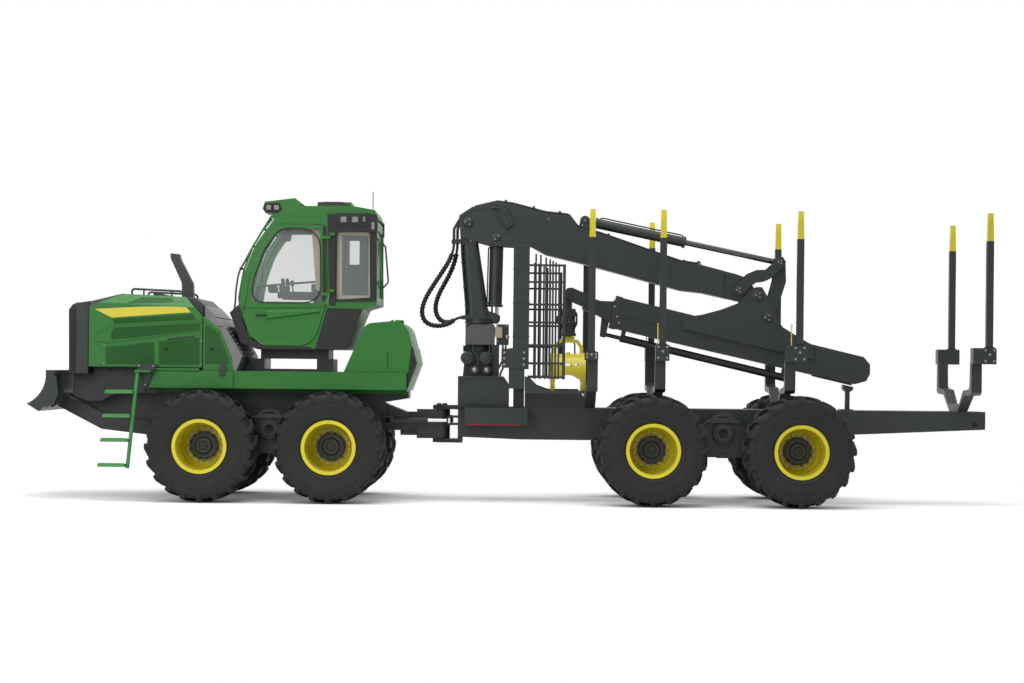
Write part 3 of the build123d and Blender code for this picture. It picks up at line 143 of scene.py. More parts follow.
def mix_colour(tree, factor, low, high):
    """A colour between two, each a socket or a value."""
    ends = [end if isinstance(end, bpy.types.NodeSocket) else (*end[:3], 1.0) for end in (low, high)]
    return add_node(tree, "ShaderNodeMix", {0: factor, 6: ends[0], 7: ends[1]}, data_type="RGBA").outputs[2]


def noise(tree, place, scale, detail):
    """Variation over a surface from its place on the object."""
    return add_node(tree, "ShaderNodeTexNoise",
                    {"Vector": place.outputs["Object"], "Scale": scale, "Detail": detail}).outputs["Fac"]


def new_group(name, inputs, outputs):
    """A shader group with named sockets, given as (name, default) numbers and (name, kind)."""
    group = bpy.data.node_groups.new(name, "ShaderNodeTree")
    for label, default in inputs:
        socket = group.interface.new_socket(name=label, in_out="INPUT", socket_type="NodeSocketFloat")
        socket.default_value = default
    for label, kind in outputs:
        group.interface.new_socket(name=label, in_out="OUTPUT", socket_type="NodeSocket" + kind)
    return group, group.nodes.new("NodeGroupInput").outputs, group.nodes.new("NodeGroupOutput")


def build_edge_group():
    """Edge: a soft normal over the corners, and a mask of the corners themselves."""
    group, start, end = new_group("Edge", [("Radius", 0.006)], [("Normal", "Vector"), ("Mask", "Float")])
    bevel = add_node(group, "ShaderNodeBevel", {"Radius": start["Radius"]}, samples=4).outputs["Normal"]
    shape = add_node(group, "ShaderNodeNewGeometry")
    match = add_node(group, "ShaderNodeVectorMath", {0: bevel, 1: shape.outputs["Normal"]},
                     operation="DOT_PRODUCT")
    feed(group, end, {"Normal": bevel, "Mask": ramp(group, match.outputs["Value"], 0.97, 0.8)})
    return group


def build_mottle_group():
    """Mottle: slow and fine variation over a surface."""
    group, start, end = new_group("Mottle", [("Scale", 1.0), ("Fine Scale", 160.0)],
                                  [("Slow", "Float"), ("Fine", "Float")])
    place = add_node(group, "ShaderNodeTexCoord")
    feed(group, end, {"Slow": noise(group, place, start["Scale"], 5.0),
                      "Fine": noise(group, place, start["Fine Scale"], 2.0)})
    return group


def build_dust_group():
    """Dust: a mask that is strongest low down and on faces that look up."""
    group, start, end = new_group("Dust", [("Amount", 0.3), ("Height", 1.6)], [("Mask", "Float")])
    place = add_node(group, "ShaderNodeTexCoord")
    shape = add_node(group, "ShaderNodeNewGeometry")
    level = add_node(group, "ShaderNodeSeparateXYZ", {"Vector": place.outputs["Object"]}).outputs["Z"]
    facing = add_node(group, "ShaderNodeSeparateXYZ", {"Vector": shape.outputs["Normal"]}).outputs["Z"]
    low = ramp(group, level, start["Height"], 0.1)
    patch = ramp(group, noise(group, place, 3.2, 7.0), 0.38, 0.72, 0.2)
    lying = calculate(group, "MULTIPLY", calculate(group, "MULTIPLY", low, patch),
                      ramp(group, facing, -0.4, 1.0, 0.35))
    feed(group, end, {"Mask": calculate(group, "MULTIPLY", lying, start["Amount"], True)})
    return group


# Finishes

GROUPS = {}
MATERIALS = {}
DUST_COLOUR = (0.20, 0.17, 0.13)
BARE_STEEL = (0.30, 0.30, 0.31)
EDGE_RADIUS = 0.005
CONTRAST = 0.12
SKIN_DEPTH = 0.001
GRAIN_DEPTH = 0.0008
ENAMEL_GLOSS = 0.35
MOULDED_GLOSS = 0.3
COAT_ROUGHNESS = 0.12
GLASS_ALPHA = 0.16


def place_group(tree, name, values):
    """The outputs of one of the shared shader groups, placed in a material."""
    return add_node(tree, "ShaderNodeGroup", values, node_tree=GROUPS[name]).outputs


def blank_material(name):
    """The node tree and the Principled BSDF of a new material."""
    material = bpy.data.materials.new(name)
    material.use_nodes = True
    MATERIALS[name] = material
    return material.node_tree, material.node_tree.nodes["Principled BSDF"]


def shade(colour, factor):
    """The colour, lighter or darker."""
    return tuple(min(1.0, part * factor) for part in colour[:3])


def bump(tree, strength, depth, height, **more):
    """A normal roughened by a height."""
    return add_node(tree, "ShaderNodeBump", {"Strength": strength, "Distance": depth, "Height": height,
                                             **more}).outputs["Normal"]


def painted(name, colour, roughness, coat, wear, dust, grain):
    """Enamel over steel: mottled colour, pale corners that are partly rubbed wear and partly a painted
    highlight, a fine skin and a little dust.
    """
    tree, bsdf = blank_material(name)
    edge = place_group(tree, "Edge", {"Radius": EDGE_RADIUS})
    mottle = place_group(tree, "Mottle", {"Scale": 1.4, "Fine Scale": 260.0})
    dirt = place_group(tree, "Dust", {"Amount": dust})["Mask"]
    varied = mix_colour(tree, mottle["Slow"], shade(colour, 1 - CONTRAST), shade(colour, 1 + CONTRAST))
    # Paler corners from the edge mask, scaled by wear: rubbed paint showing steel, and a painted highlight
    # along the edges.
    corner_wear_and_highlight = calculate(tree, "MULTIPLY", edge["Mask"], wear)
    patchy_wear_and_highlight = calculate(tree, "MULTIPLY", corner_wear_and_highlight, mottle["Slow"], True)
    bare_steel_and_highlight = tuple(0.5 * paint + 0.5 * steel + 0.04 for paint, steel in zip(colour, BARE_STEEL))
    rough = ramp(tree, mottle["Slow"], 0.3, 0.7, roughness * 0.85, roughness * 1.2)
    feed(tree, bsdf, {
        "Base Color": mix_colour(tree, dirt, mix_colour(tree, patchy_wear_and_highlight, varied, bare_steel_and_highlight), DUST_COLOUR),
        "Roughness": calculate(tree, "ADD", rough, dirt, True),
        "Normal": bump(tree, grain, SKIN_DEPTH, mottle["Fine"], Normal=edge["Normal"]),
        "Specular IOR Level": ENAMEL_GLOSS, "Coat Weight": coat, "Coat Roughness": COAT_ROUGHNESS})


def moulded(name, colour, roughness, grain, fine, dust):
    """Grained plastic or rubber: dull colour with a fine skin."""
    tree, bsdf = blank_material(name)
    mottle = place_group(tree, "Mottle", {"Scale": 2.5, "Fine Scale": fine})
    dirt = place_group(tree, "Dust", {"Amount": dust})["Mask"]
    varied = mix_colour(tree, mottle["Slow"], shade(colour, 0.8), shade(colour, 1.25))
    feed(tree, bsdf, {
        "Base Color": mix_colour(tree, dirt, varied, DUST_COLOUR),
        "Roughness": ramp(tree, mottle["Fine"], 0.3, 0.7, roughness * 0.85, min(1.0, roughness * 1.15)),
        "Normal": bump(tree, grain, GRAIN_DEPTH, mottle["Fine"]), "Specular IOR Level": MOULDED_GLOSS})


def polished(name, colour, roughness):
    """Bright metal with faint handling marks."""
    tree, bsdf = blank_material(name)
    slow = place_group(tree, "Mottle", {"Scale": 6.0, "Fine Scale": 300.0})["Slow"]
    feed(tree, bsdf, {"Base Color": mix_colour(tree, slow, shade(colour, 0.9), shade(colour, 1.05)),
                      "Roughness": ramp(tree, slow, 0.3, 0.7, roughness * 0.7, roughness * 1.5),
                      "Metallic": 1.0})


def clear_glass(name, colour):
    """Thin safety glass: mostly clear, with a gloss."""
    tree, bsdf = blank_material(name)
    slow = place_group(tree, "Mottle", {"Scale": 1.5, "Fine Scale": 40.0})["Slow"]
    feed(tree, bsdf, {"Base Color": mix_colour(tree, slow, shade(colour, 0.96), colour),
                      "Roughness": 0.02, "IOR": 1.5, "Alpha": GLASS_ALPHA})


def lit_lens(name, colour):
    """Lamp lens: ribbed and pale."""
    tree, bsdf = blank_material(name)
    place = add_node(tree, "ShaderNodeTexCoord")
    ribs = add_node(tree, "ShaderNodeTexWave",
                    {"Vector": place.outputs["Object"], "Scale": 40.0}).outputs["Fac"]
    feed(tree, bsdf, {"Base Color": mix_colour(tree, ribs, shade(colour, 0.75), colour),
                      "Normal": bump(tree, 0.2, 0.002, ribs), "Roughness": 0.15, "Coat Weight": 0.6})


def make_materials(paint):
    """Every finish on the machine."""
    GROUPS.update(Edge=build_edge_group(), Mottle=build_mottle_group(), Dust=build_dust_group())
    # Name, colour, roughness, coat, wear and painted highlight at the corners, dust, grain
    for row in (("green enamel", paint.green, 0.42, 0.05, 0.2, 0.06, 0.02),
                ("light green enamel", (0.075, 0.30, 0.085), 0.45, 0.0, 0.2, 0.06, 0.02),
                ("mid grey enamel", (0.095, 0.098, 0.098), 0.45, 0.0, 0.2, 0.06, 0.02),
                # Mesh plates are darker than the green enamel: painted shade of the recess behind the mesh.
                ("green mesh with painted shade", shade(paint.green, 0.5), 0.6, 0.0, 0.1, 0.05, 0.5),
                ("dark enamel", paint.dark, 0.42, 0.05, 0.3, 0.10, 0.02),
                ("grey enamel", paint.grey, 0.45, 0.05, 0.3, 0.10, 0.02),
                ("pale guard", paint.pale_grey, 0.5, 0.0, 0.1, 0.1, 0.02),
                ("yellow enamel", paint.yellow, 0.33, 0.35, 0.15, 0.12, 0.02),
                ("dull iron", (0.05, 0.052, 0.055), 0.6, 0.0, 0.5, 0.3, 0.12)):
        painted(*row)
    # Name, colour, roughness, grain, fineness of the grain, dust
    for row in (("tyre rubber", (0.017, 0.017, 0.0175), 0.75, 0.5, 220.0, 0.10),
                ("hose rubber", (0.012, 0.012, 0.013), 0.55, 0.4, 500.0, 0.05),
                ("black moulding", (0.014, 0.0145, 0.015), 0.5, 0.3, 420.0, 0.05),
                ("beige trim", paint.beige, 0.75, 0.3, 500.0, 0.0),
                ("seat cloth", (0.035, 0.035, 0.037), 0.9, 0.6, 700.0, 0.0),
                ("red reflector", (0.35, 0.012, 0.012), 0.3, 0.05, 300.0, 0.05)):
        moulded(*row)
    polished("chromed rod", (0.72, 0.73, 0.75), 0.10)
    polished("dark rod", (0.085, 0.09, 0.09), 0.25)
    polished("zinc fitting", (0.26, 0.26, 0.25), 0.4)
    clear_glass("window glass", (0.60, 0.66, 0.64))
    lit_lens("lamp lens", (0.22, 0.22, 0.215))


NODE_FINISH = {
    "green enamel": ["hood", "sills", "tank", "cab_shell", "cab_door", "cab_roof"],
    "light green enamel": ["ladder"],
    "grey enamel": ["nose", "exhaust"],
    "pale guard": ["cowl"],
    "dark enamel": [
        "blade", "bogies_front", "bogies_rear", "bunks", "cab_base", "column", "crane_base", "fold_barrel",
        "front_frame", "headboard", "jib", "knee_link", "knee_rocker", "lift_barrel", "main_boom",
        "rear_frame", "sliding_beam", "stakes", "tip_link", "steer_barrel_left", "steer_barrel_right"],
    "dull iron": ["engine"],
    "yellow enamel": ["grapple_head", "jaw_left", "jaw_right"],
    "chromed rod": ["lift_rod", "steer_rod_left", "steer_rod_right"],
    "dark rod": ["fold_rod"],
    "window glass": ["door_glass", "cab_glass"],
    "seat cloth": ["seat"],
    "hose rubber": ["crane_hose_outer", "crane_hose_inner"],
}
WHEEL_FINISH = {"tyre_": "tyre rubber", "rim_": "yellow enamel"}


class FORWARDER_OT_finishes(bpy.types.Operator):
    """Make the finishes and give every plain piece its own"""

    bl_idname = "forwarder.finishes"
    bl_label = "Finishes"

    def execute(self, context):
        make_materials(context.scene.forwarder_paint)
        finishes = {node: material for material, nodes in NODE_FINISH.items() for node in nodes}
        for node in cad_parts:
            for start, material in WHEEL_FINISH.items():
                if node.startswith(start):
                    finishes[node] = material
        for node, material in finishes.items():
            slots = bpy.data.objects[node].data.materials
            slots.clear()
            slots.append(MATERIALS[material])
        return {"FINISHED"}


# Forms that the pieces are made of


def around(count, radius, shift=0.0):
    """Places evenly round a circle, as (first, second) distances from its middle."""
    angles = [math.tau * (number + shift) / count for number in range(count)]
    return [(radius * math.cos(angle), radius * math.sin(angle)) for angle in angles]


def arc(x, z, radius, degrees):
    """Side points on a circle at the given degrees."""
    angles = [math.radians(angle) for angle in degrees]
    return [(x + radius * math.cos(angle), z + radius * math.sin(angle)) for angle in angles]


class Shape:
    """A mesh in the making, in millimetres; a face keeps the slot that was set when it was made."""

    def __init__(self):
        self.mesh = bmesh.new()
        self.slot = 0

    def skin(self, rings, closed=False):
        """Skin over a row of rings of points, with caps at both ends unless the row closes on itself."""
        rows = [[self.mesh.verts.new(Vector(point) * MM) for point in ring] for ring in rings]
        loops = []
        for near, far in zip(rows, rows[1:] + rows[:1] if closed else rows[1:]):
            for step in range(len(near)):
                after = (step + 1) % len(near)
                loops.append((near[step], near[after], far[after], far[step]))
        if not closed:
            loops += [rows[0], rows[-1]]
        for loop in loops:
            self.mesh.faces.new(loop).material_index = self.slot

    def slab(self, outline, y_low, y_high):
        """A side outline of (X, Z) points between two planes across the machine."""
        self.skin([[(x, y, z) for x, z in outline] for y in (y_low, y_high)])

    def twins(self, outline, near, far):
        """The same slab on both sides, between two distances from the middle plane."""
        self.slab(outline, -far, -near)
        self.slab(outline, near, far)

    def box(self, x_low, x_high, y_low, y_high, z_low, z_high):
        """A plain box between two corners."""
        self.slab([(x_low, z_low), (x_high, z_low), (x_high, z_high), (x_low, z_high)], y_low, y_high)

    def frame_slab(self, outer, inner, y_low, y_high):
        """A flat frame between two side outlines with the same number of points."""
        self.skin([[(x, y, z) for x, z in line] for line, y in (
            (outer, y_low), (outer, y_high), (inner, y_high), (inner, y_low))], closed=True)

    def turned(self, centre, axis, profile, sides=24):
        """A turned form: (distance along the axis, radius) points round a centre line."""
        axis = Vector(axis).normalized()
        across = axis.orthogonal().normalized() if abs(axis.y) < 0.99 else Vector((1, 0, 0))
        third = axis.cross(across)
        self.skin([[Vector(centre) + axis * distance + across * first + third * second
                    for first, second in around(sides, radius)] for distance, radius in profile])

    def rod(self, start, end, radius, sides=16):
        """A round rod between two points."""
        run = Vector(end) - Vector(start)
        self.turned(start, run, [(0, radius), (run.length, radius)], sides)

    def sweep(self, points, outline, first=UP, closed=False):
        """A (side, up) outline carried along a row of points without a twist."""
        points = [Vector(point) for point in points]
        last = len(points) - 1
        rings = []
        up = Vector(first)
        for index, point in enumerate(points):
            before = points[index - 1] if index or closed else point
            after = points[(index + 1) % len(points)] if index < last or closed else point
            way = (after - before).normalized()
            up = (up - way * up.dot(way)).normalized()
            aside = way.cross(up)
            rings.append([point + aside * a + up * b for a, b in outline])
        self.skin(rings, closed)

    def tube(self, points, radius, bend=0.0, sides=10):
        """A round tube along a row of points, its corners bent to a radius."""
        if bend:
            points = bent(points, bend)
        way = Vector(points[1]) - Vector(points[0])
        self.sweep(points, around(sides, radius), way.orthogonal())

    def bolt(self, place, axis, across=24.0, height=14.0):
        """A hexagon head on its washer."""
        self.turned(place, axis, [(-2, across * 0.6), (4, across * 0.6)], 14)
        half = across * 0.48
        self.turned(place, axis, [(3, half), (height - 2, half), (height, across * 0.38)], 6)

    def bolts(self, places, y, across=24.0, height=14.0):
        """Bolts at (X, Z) places on one plane of the left side."""
        for x, z in places:
            self.bolt((x, y, z), LEFT, across, height)

    def mirror(self):
        """The same forms again on the far side."""
        everything = self.mesh.verts[:] + self.mesh.edges[:] + self.mesh.faces[:]
        for item in bmesh.ops.duplicate(self.mesh, geom=everything)["geom"]:
            if isinstance(item, bmesh.types.BMVert):
                item.co.y = -item.co.y


def bent(points, radius, steps=5):
    """The row of points with each corner turned into an arc, as large as its runs allow."""
    points = [Vector(point) for point in points]
    line = [points[0]]
    for before, corner, after in zip(points, points[1:], points[2:]):
        back = before - corner
        ahead = after - corner
        turn = math.pi - back.angle(ahead)
        if turn < 0.02:
            line.append(corner)
            continue
        cut = min(radius * math.tan(turn / 2), 0.48 * back.length, 0.48 * ahead.length)
        start = corner + back.normalized() * cut
        end = corner + ahead.normalized() * cut
        for step in range(steps + 1):
            part = step / steps
            low = (1 - part) ** 2
            mid = 2 * part * (1 - part) * math.cos(turn / 2)
            high = part ** 2
            line.append((start * low + corner * mid + end * high) / (low + mid + high))
    return line + [points[-1]]


def new_piece(name, shape, body, materials, crease=35.0):
    """A piece made of a shape, with its finishes in the order of the slots, that moves with a body."""
    bmesh.ops.recalc_face_normals(shape.mesh, faces=shape.mesh.faces)
    data = bpy.data.meshes.new(name)
    shape.mesh.to_mesh(data)
    shape.mesh.free()
    for material in materials:
        data.materials.append(MATERIALS[material])
    data.shade_smooth()
    data.set_sharp_from_angle(angle=math.radians(crease))
    piece = bpy.data.objects.new(name, data)
    bpy.context.scene.collection.objects.link(piece)
    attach(piece, body)
    return piece


def rounded_box(x_low, x_high, z_low, z_high, radius):
    """The side outline of a box with round corners."""
    corners = ((x_low + radius, z_low + radius), (x_high - radius, z_low + radius),
               (x_high - radius, z_high - radius), (x_low + radius, z_high - radius))
    outline = []
    for number, (x, z) in enumerate(corners):
        outline += arc(x, z, radius, [180 + 90 * number + 22.5 * step for step in range(5)])
    return outline


# Wheels

AXLE_HEIGHT = 0.75
WHEEL_PLACES = {"front": (-4157, -2443), "rear": (1872, 3840)}
TYRE_CENTRE = 1165
TYRE_FLAT_R = 705
TYRE_STEPS = 90
# (Distance from the middle plane, radius) from the bead over the side and shoulder to the crown
TYRE_HALF = [
    (300, 341), (314, 352), (322, 369), (345, 370), (361, 386), (366, 404), (372, 410), (372, 424),
    (367, 432), (374, 480), (375, 540), (374, 580), (370, 590), (372, 600), (366, 640), (358, 668),
    (336, 690), (290, 700), (190, 704), (60, 705)]
# Distance from the middle plane, shift round the tyre, radii of top and foot, half width
BAR_SECTIONS = [
    (6, -14, 749, 690, 21), (40, 6, 750, 690, 24), (120, 44, 750, 690, 25), (220, 80, 748, 688, 27),
    (300, 103, 742, 682, 30), (346, 112, 728, 660, 32), (366, 115, 700, 628, 32), (374.6, 116, 676, 612, 30)]


def build_tyre(bars):
    """A wide flotation tyre with slanted bars that wrap over its shoulders."""
    shape = Shape()
    line = TYRE_HALF + [(-y, radius) for y, radius in reversed(TYRE_HALF)]
    angles = [math.tau * step / TYRE_STEPS for step in range(TYRE_STEPS)]
    shape.skin([[(radius * math.sin(angle), y, radius * math.cos(angle)) for y, radius in line]
                for angle in angles], closed=True)
    for side, lag in ((-1, 0.0), (1, 0.5)):
        for number in range(bars):
            start = math.tau * (number + lag) / bars + math.pi
            sections = []
            for y, shift, top, base, half in BAR_SECTIONS:
                section = []
                for radius, offset in ((base, -half - 7), (top - 6, -half), (top, -half + 7),
                                       (top, half - 7), (top - 6, half), (base, half + 7)):
                    angle = start - (shift + offset) / TYRE_FLAT_R
                    section.append((radius * math.sin(angle), side * y, radius * math.cos(angle)))
                sections.append(section)
            shape.skin(sections)
    return shape


def build_hub():
    """The dark planetary hub with its scalloped rim, the nuts round it and the valve."""
    shape = Shape()
    shape.turned(CENTRE, RIGHT, [(-202, 188), (-108, 188), (-99, 181), (-99, 122), (-93, 116), (-84, 112),
                                 (-78, 104), (-78, 62), (-72, 56), (-66, 50), (-66, 20)], 48)
    for z, x in around(12, 176, 0.5):
        shape.turned((x, -198, z), RIGHT, [(0, 22), (106, 22), (110, 18)], 16)
        shape.turned((x, -198, z), RIGHT, [(108, 11), (118, 11), (120, 8)], 6)
    for z, x in around(16, 226):
        shape.slot = 1
        shape.turned((x, -201, z), RIGHT, [(0, 21), (4, 21)], 16)
        shape.turned((x, -201, z), RIGHT, [(3, 16), (22, 16), (25, 12)], 6)
        shape.slot = 2
        shape.turned((x, -201, z), RIGHT, [(24, 8), (36, 8)], 10)
    shape.slot = 0
    shape.turned(CENTRE, RIGHT, [(-67, 24), (-58, 24), (-54, 18)], 6)
    shape.tube([(300, -60, 0), (285, -20, 0), (278, 40, 0)], 6, sides=8)
    return shape


def wheel_piece(name, shape, tag, place, materials):
    """A form of the wheel, turned to its side of the machine and set on its axle."""
    bmesh.ops.transform(shape.mesh, matrix=place, verts=shape.mesh.verts)
    return new_piece(name + tag, shape, "wheel_" + tag, materials, 30)


class FORWARDER_OT_wheels(bpy.types.Operator):
    """Put the detailed tyres and the hubs with their nuts on the eight wheels"""

    bl_idname = "forwarder.wheels"
    bl_label = "Wheels"

    def execute(self, context):
        bars = context.scene.forwarder_trim.tyre_bars
        wheels = [(f"{axle}_{side}_{number}", wheel_x, sign) for axle, places in WHEEL_PLACES.items()
                  for number, wheel_x in enumerate(places, start=1)
                  for side, sign in (("left", -1), ("right", 1))]
        for tag, wheel_x, sign in wheels:
            place = Matrix.Translation((wheel_x * MM, sign * TYRE_CENTRE * MM, AXLE_HEIGHT))
            if sign < 0:
                place = place @ Matrix.Rotation(math.pi, 4, "Z")
            tyre = wheel_piece("tread_", build_tyre(bars), tag, place, ["tyre rubber"])
            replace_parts(tyre, "tyre_" + tag)
            wheel_piece("hub_", build_hub(), tag, place, ["dark enamel", "yellow enamel", "zinc fitting"])
        return {"FINISHED"}


# Hood

HOOD_SIDE = 1000
HOOD_CHAMFER = 140
HOOD_FRONT = -5300
HOOD_FRONT_TOP = 2785
HOOD_FALL = 35 / 860
ON_THE_SLANT = 0.7
HOOD_FINISH = ["yellow enamel", "black moulding", "green enamel", "zinc fitting", "grey enamel",
               "dark enamel", "green mesh with painted shade"]


def hood_edge(x):
    """Height at which the hood's side turns into its chamfer."""
    return HOOD_FRONT_TOP - (x - HOOD_FRONT) * HOOD_FALL - HOOD_CHAMFER


def on_hood(x, z, proud):
    """The point on the hood's left side or chamfer at (X, Z), standing a little proud."""
    over = max(0.0, z - hood_edge(x))
    if over:
        proud *= ON_THE_SLANT
    return (x, -(HOOD_SIDE - over + proud), z + (proud if over else 0.0))


def hood_patch(shape, columns, proud=3.0):
    """A thin plate on the hood's left side, given as (x, low z, high z) columns."""
    sections = []
    for x, low, high in columns:
        levels = (low, min(max(hood_edge(x), low + 1), high - 1), high)
        sections.append([on_hood(x, z, proud) for z in levels] + [on_hood(x, z, -3.0) for z in levels[::-1]])
    shape.skin(sections)


def hood_stripe(shape):
    """The green plate along the left chamfer, with the yellow stripe on it."""
    shape.slot = 2
    shape.skin([[on_hood(x, z, proud) for z, proud in ((low, 2), (high, 2), (high, -4), (low, -4))]
                for x, low, high in ((-5590, 2658, 2661), (-5300, 2650, 2782), (-4446, 2616, 2746),
                                     (-4322, 2606, 2614))])
    shape.slot = 0
    hood_patch(shape, [(-5646, 2568, 2571), (-5422, 2455, 2586), (-5000, 2490, 2609),
                       (-4600, 2522, 2615), (-4415, 2533, 2607), (-4356, 2537, 2541)])


def hood_vents(shape):
    """The mesh of the left side's vents, darkened as painted shade of the recess behind it, the band over the
    rear one and the lock.
    """
    # Dark mesh plates: painted shade of the vent recesses behind the mesh.
    shape.slot = 6
    hood_patch(shape, [(-5210, 2650, 2653), (-5034, 2656, 2739), (-4900, 2660, 2737),
                       (-4700, 2670, 2733), (-4640, 2675, 2731), (-4592, 2682, 2686)], 4.0)
    shape.slab([(-5415, 2440), (-4330, 2515), (-4290, 2470), (-4290, 2445), (-5385, 2378)], -1003, -998)
    shape.slab([(-5420, 2270), (-5380, 2325), (-4230, 2398), (-4230, 2305), (-5420, 2155)], -1011, -1008)
    shape.slab([(-5488, 1835), (-5488, 2050), (-4850, 2122), (-4850, 1835)], -997, -991)
    shape.slab([(-4770, 1835), (-4770, 2132), (-4240, 2190), (-4240, 1835)], -997, -991)
    shape.slot = 1
    shape.slab([(-4672, 2162), (-4296, 2206), (-4296, 2224), (-4672, 2180)], -1004, -998)
    shape.turned((-4686, -990, 2048), LEFT, [(0, 24), (12, 24), (14, 20)], 20)


def hood_ribs(shape):
    """The green ribs round the vents, with the left side's bolts and studs."""
    shape.slot = 2
    shape.slab([(-5660, 2225), (-5390, 2357), (-4206, 2424), (-4206, 2298), (-5470, 2118),
                (-5660, 2150)], -1009, -997)
    shape.slab([(-5640, 2238), (-5390, 2365), (-4206, 2432), (-4206, 2420), (-5390, 2352),
                (-5640, 2222)], -1014, -998)
    shape.slab([(-4836, 1820), (-4784, 1820), (-4784, 2150), (-4836, 2142)], -1005, -998)
    shape.slab([(-5700, 1815), (-4206, 1815), (-4206, 1799), (-5700, 1799)], -1006, -998)
    shape.slot = 3
    shape.bolts([(-4215, 2154), (-4215, 1840), (-5520, 2090), (-5520, 1840)], -1000, 16, 8)
    shape.slot = 1
    for x, part in ((-5330, 0.45), (-5260, 0.45), (-4540, 0.5), (-4480, 0.5)):
        stud = on_hood(x, hood_edge(x) + HOOD_CHAMFER * part, 0)
        shape.turned(stud, (0, -1, 1), [(0, 10), (4, 10)], 12)


def hood_top(shape):
    """The lip over the nose, the rear guard with its louvres, and the rail."""
    shape.slot = 4
    shape.skin([[(-5728, y * 1.02, 2602), (-5728, y * 0.94, 2679), (-5300, y * 0.9, 2788),
                 (-5300, y * 0.905, 2780)] for y in (-955, 955)])
    shape.slab([(-4440, 2749), (-4300, 2735), (-4206, 2648), (-4206, 2484)], -850, 850)
    shape.slot = 5
    for number in range(9):
        x, z = -4432 + number * 25, 2752 - number * 11
        shape.slab([(x, z), (x + 12, z + 5), (x + 16, z - 7)], -640, 640)
    for y in (-700, 700):
        shape.tube([(-5201, y, 2776), (-5201, y, 2858), (-4508, y, 2830), (-4494, y, 2748)], 15, 45)
        for x in (-5040, -4660):
            shape.rod((x, y, 2764), (x, y, 2846), 12, 10)
    for x in (-4900, -4840):
        shape.box(x - 14, x + 14, -690, 690, 2760, 2800)


class FORWARDER_OT_hood(bpy.types.Operator):
    """Add the hood's stripe, mesh vents, band, rail, locks and rear guard"""

    bl_idname = "forwarder.hood"
    bl_label = "Hood trim"

    def execute(self, context):
        shape = Shape()
        for build in (hood_stripe, hood_vents, hood_ribs):
            build(shape)
        shape.mirror()
        hood_top(shape)
        new_piece("hood_trim", shape, "hood", HOOD_FINISH)
        return {"FINISHED"}


# Front

# The exhaust's casing: middle X, level and depth of each section
STACK = [(-4600, 2740, 160), (-4612, 2990, 160), (-4780, 3330, 140), (-4790, 3402, 126)]
STACK_MIDDLE = 500
STACK_HALF_WIDTH = 75
# Level and front end of each step of the ladder
STEPS = [(1460, -5440), (1140, -5468), (815, -5496), (480, -5530)]
TOOTH_PITCH = 26


def stack_casing():
    """The flat-sided casing round the exhaust, with its foot and a dark plate in its mouth as painted shade
    of the open pipe.
    """
    shape = Shape()
    low, high = STACK_MIDDLE - STACK_HALF_WIDTH, STACK_MIDDLE + STACK_HALF_WIDTH
    shape.skin([[(x - depth / 2, low, z), (x + depth / 2, low, z - 14), (x + depth / 2, high, z - 14),
                 (x - depth / 2, high, z)] for x, z, depth in STACK])
    shape.box(-4702, -4508, 405, 595, 2738, 2762)
    # Dark plate at the top: painted shade where the open pipe's hollow would be.
    shape.slot = 1
    shape.skin([[(-4838, 452, z - 6), (-4742, 452, z - 16), (-4742, 548, z - 16), (-4838, 548, z - 6)]
                for z in (3400, 3406)])
    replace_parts(new_piece("stack_casing", shape, "hood", ["grey enamel", "black moulding"]), "exhaust")


def nose_trim():
    """The nose's ribbed side panels, its skid guards and the lip over the louvres."""
    shape = Shape()
    shape.slab([(-5990, 1712), (-5902, 1712), (-5902, 2606), (-5945, 2606), (-5995, 2540)], -1005, -999)
    for number in range(5):
        x = -5984 + number * 17
        shape.box(x, x + 8, -1010, -1000, 1730, 2560)
    shape.slot = 1
    shape.box(-5895, -5745, -1006, -998, 1712, 2598)
    shape.slab([(-5720, 1812), (-5000, 1812), (-5000, 1440), (-5214, 1440), (-5300, 1480), (-5600, 1335),
                (-5733, 1400)], -712, -699)
    shape.slab([(-5010, 1790), (-4830, 1750), (-4830, 1440), (-5010, 1440)], -690, -680)
    shape.bolts([(-5700, 1740), (-5480, 1742), (-5260, 1744), (-5560, 1480)], -711, 22)
    shape.mirror()
    shape.slab([(-5952, 2630), (-5911, 2648), (-5736, 2680), (-5736, 2598), (-5880, 2655)], -950, 950)
    shape.box(-5999, -5985, -900, 900, 1700, 1780)
    new_piece("nose_trim", shape, "front_frame", ["black moulding", "grey enamel"])


def cowl_trim():
    """The cowl's side panels with their lock and their mesh, which is darkened as painted shade of the space
    behind it, and its sloping grille.
    """
    shape = Shape()
    shape.slab([(-4186, 1758), (-4186, 2440), (-4150, 2462), (-3948, 2290), (-3800, 1935), (-3778, 1758)],
               -987, -979)
    shape.slab([(-4186, 2452), (-4150, 2468), (-3952, 2300), (-3960, 2268), (-4160, 2420), (-4186, 2405)],
               -992, -984)
    # Dark mesh plate: painted shade of the space behind the mesh.
    shape.slot = 3
    shape.slab([(-4160, 1850), (-4160, 2340), (-4130, 2375), (-3975, 2250), (-3850, 1935), (-3830, 1850)],
               -989, -985)
    shape.slot = 1
    shape.turned((-4066, -985, 2048), LEFT, [(0, 26), (9, 26), (11, 21)], 20)
    shape.bolts([(-3965, 2352), (-3925, 2352)], -980, 18, 8)
    shape.box(-4196, -4187, -984, -976, 1760, 2460)
    shape.mirror()
    shape.slot = 2
    shape.slab([(-4187, 2640), (-4120, 2575), (-4030, 2482), (-4050, 2478), (-4187, 2462)], -850, 850)
    for number in range(7):
        x, z = -3890 + 225 * number / 7, 2345 - 375 * number / 7
        shape.slab([(x, z), (x + 16, z + 10), (x + 24, z - 20)], -800, 800)
    new_piece("cowl_trim", shape, "front_frame",
              ["green enamel", "black moulding", "pale guard", "green mesh with painted shade"])


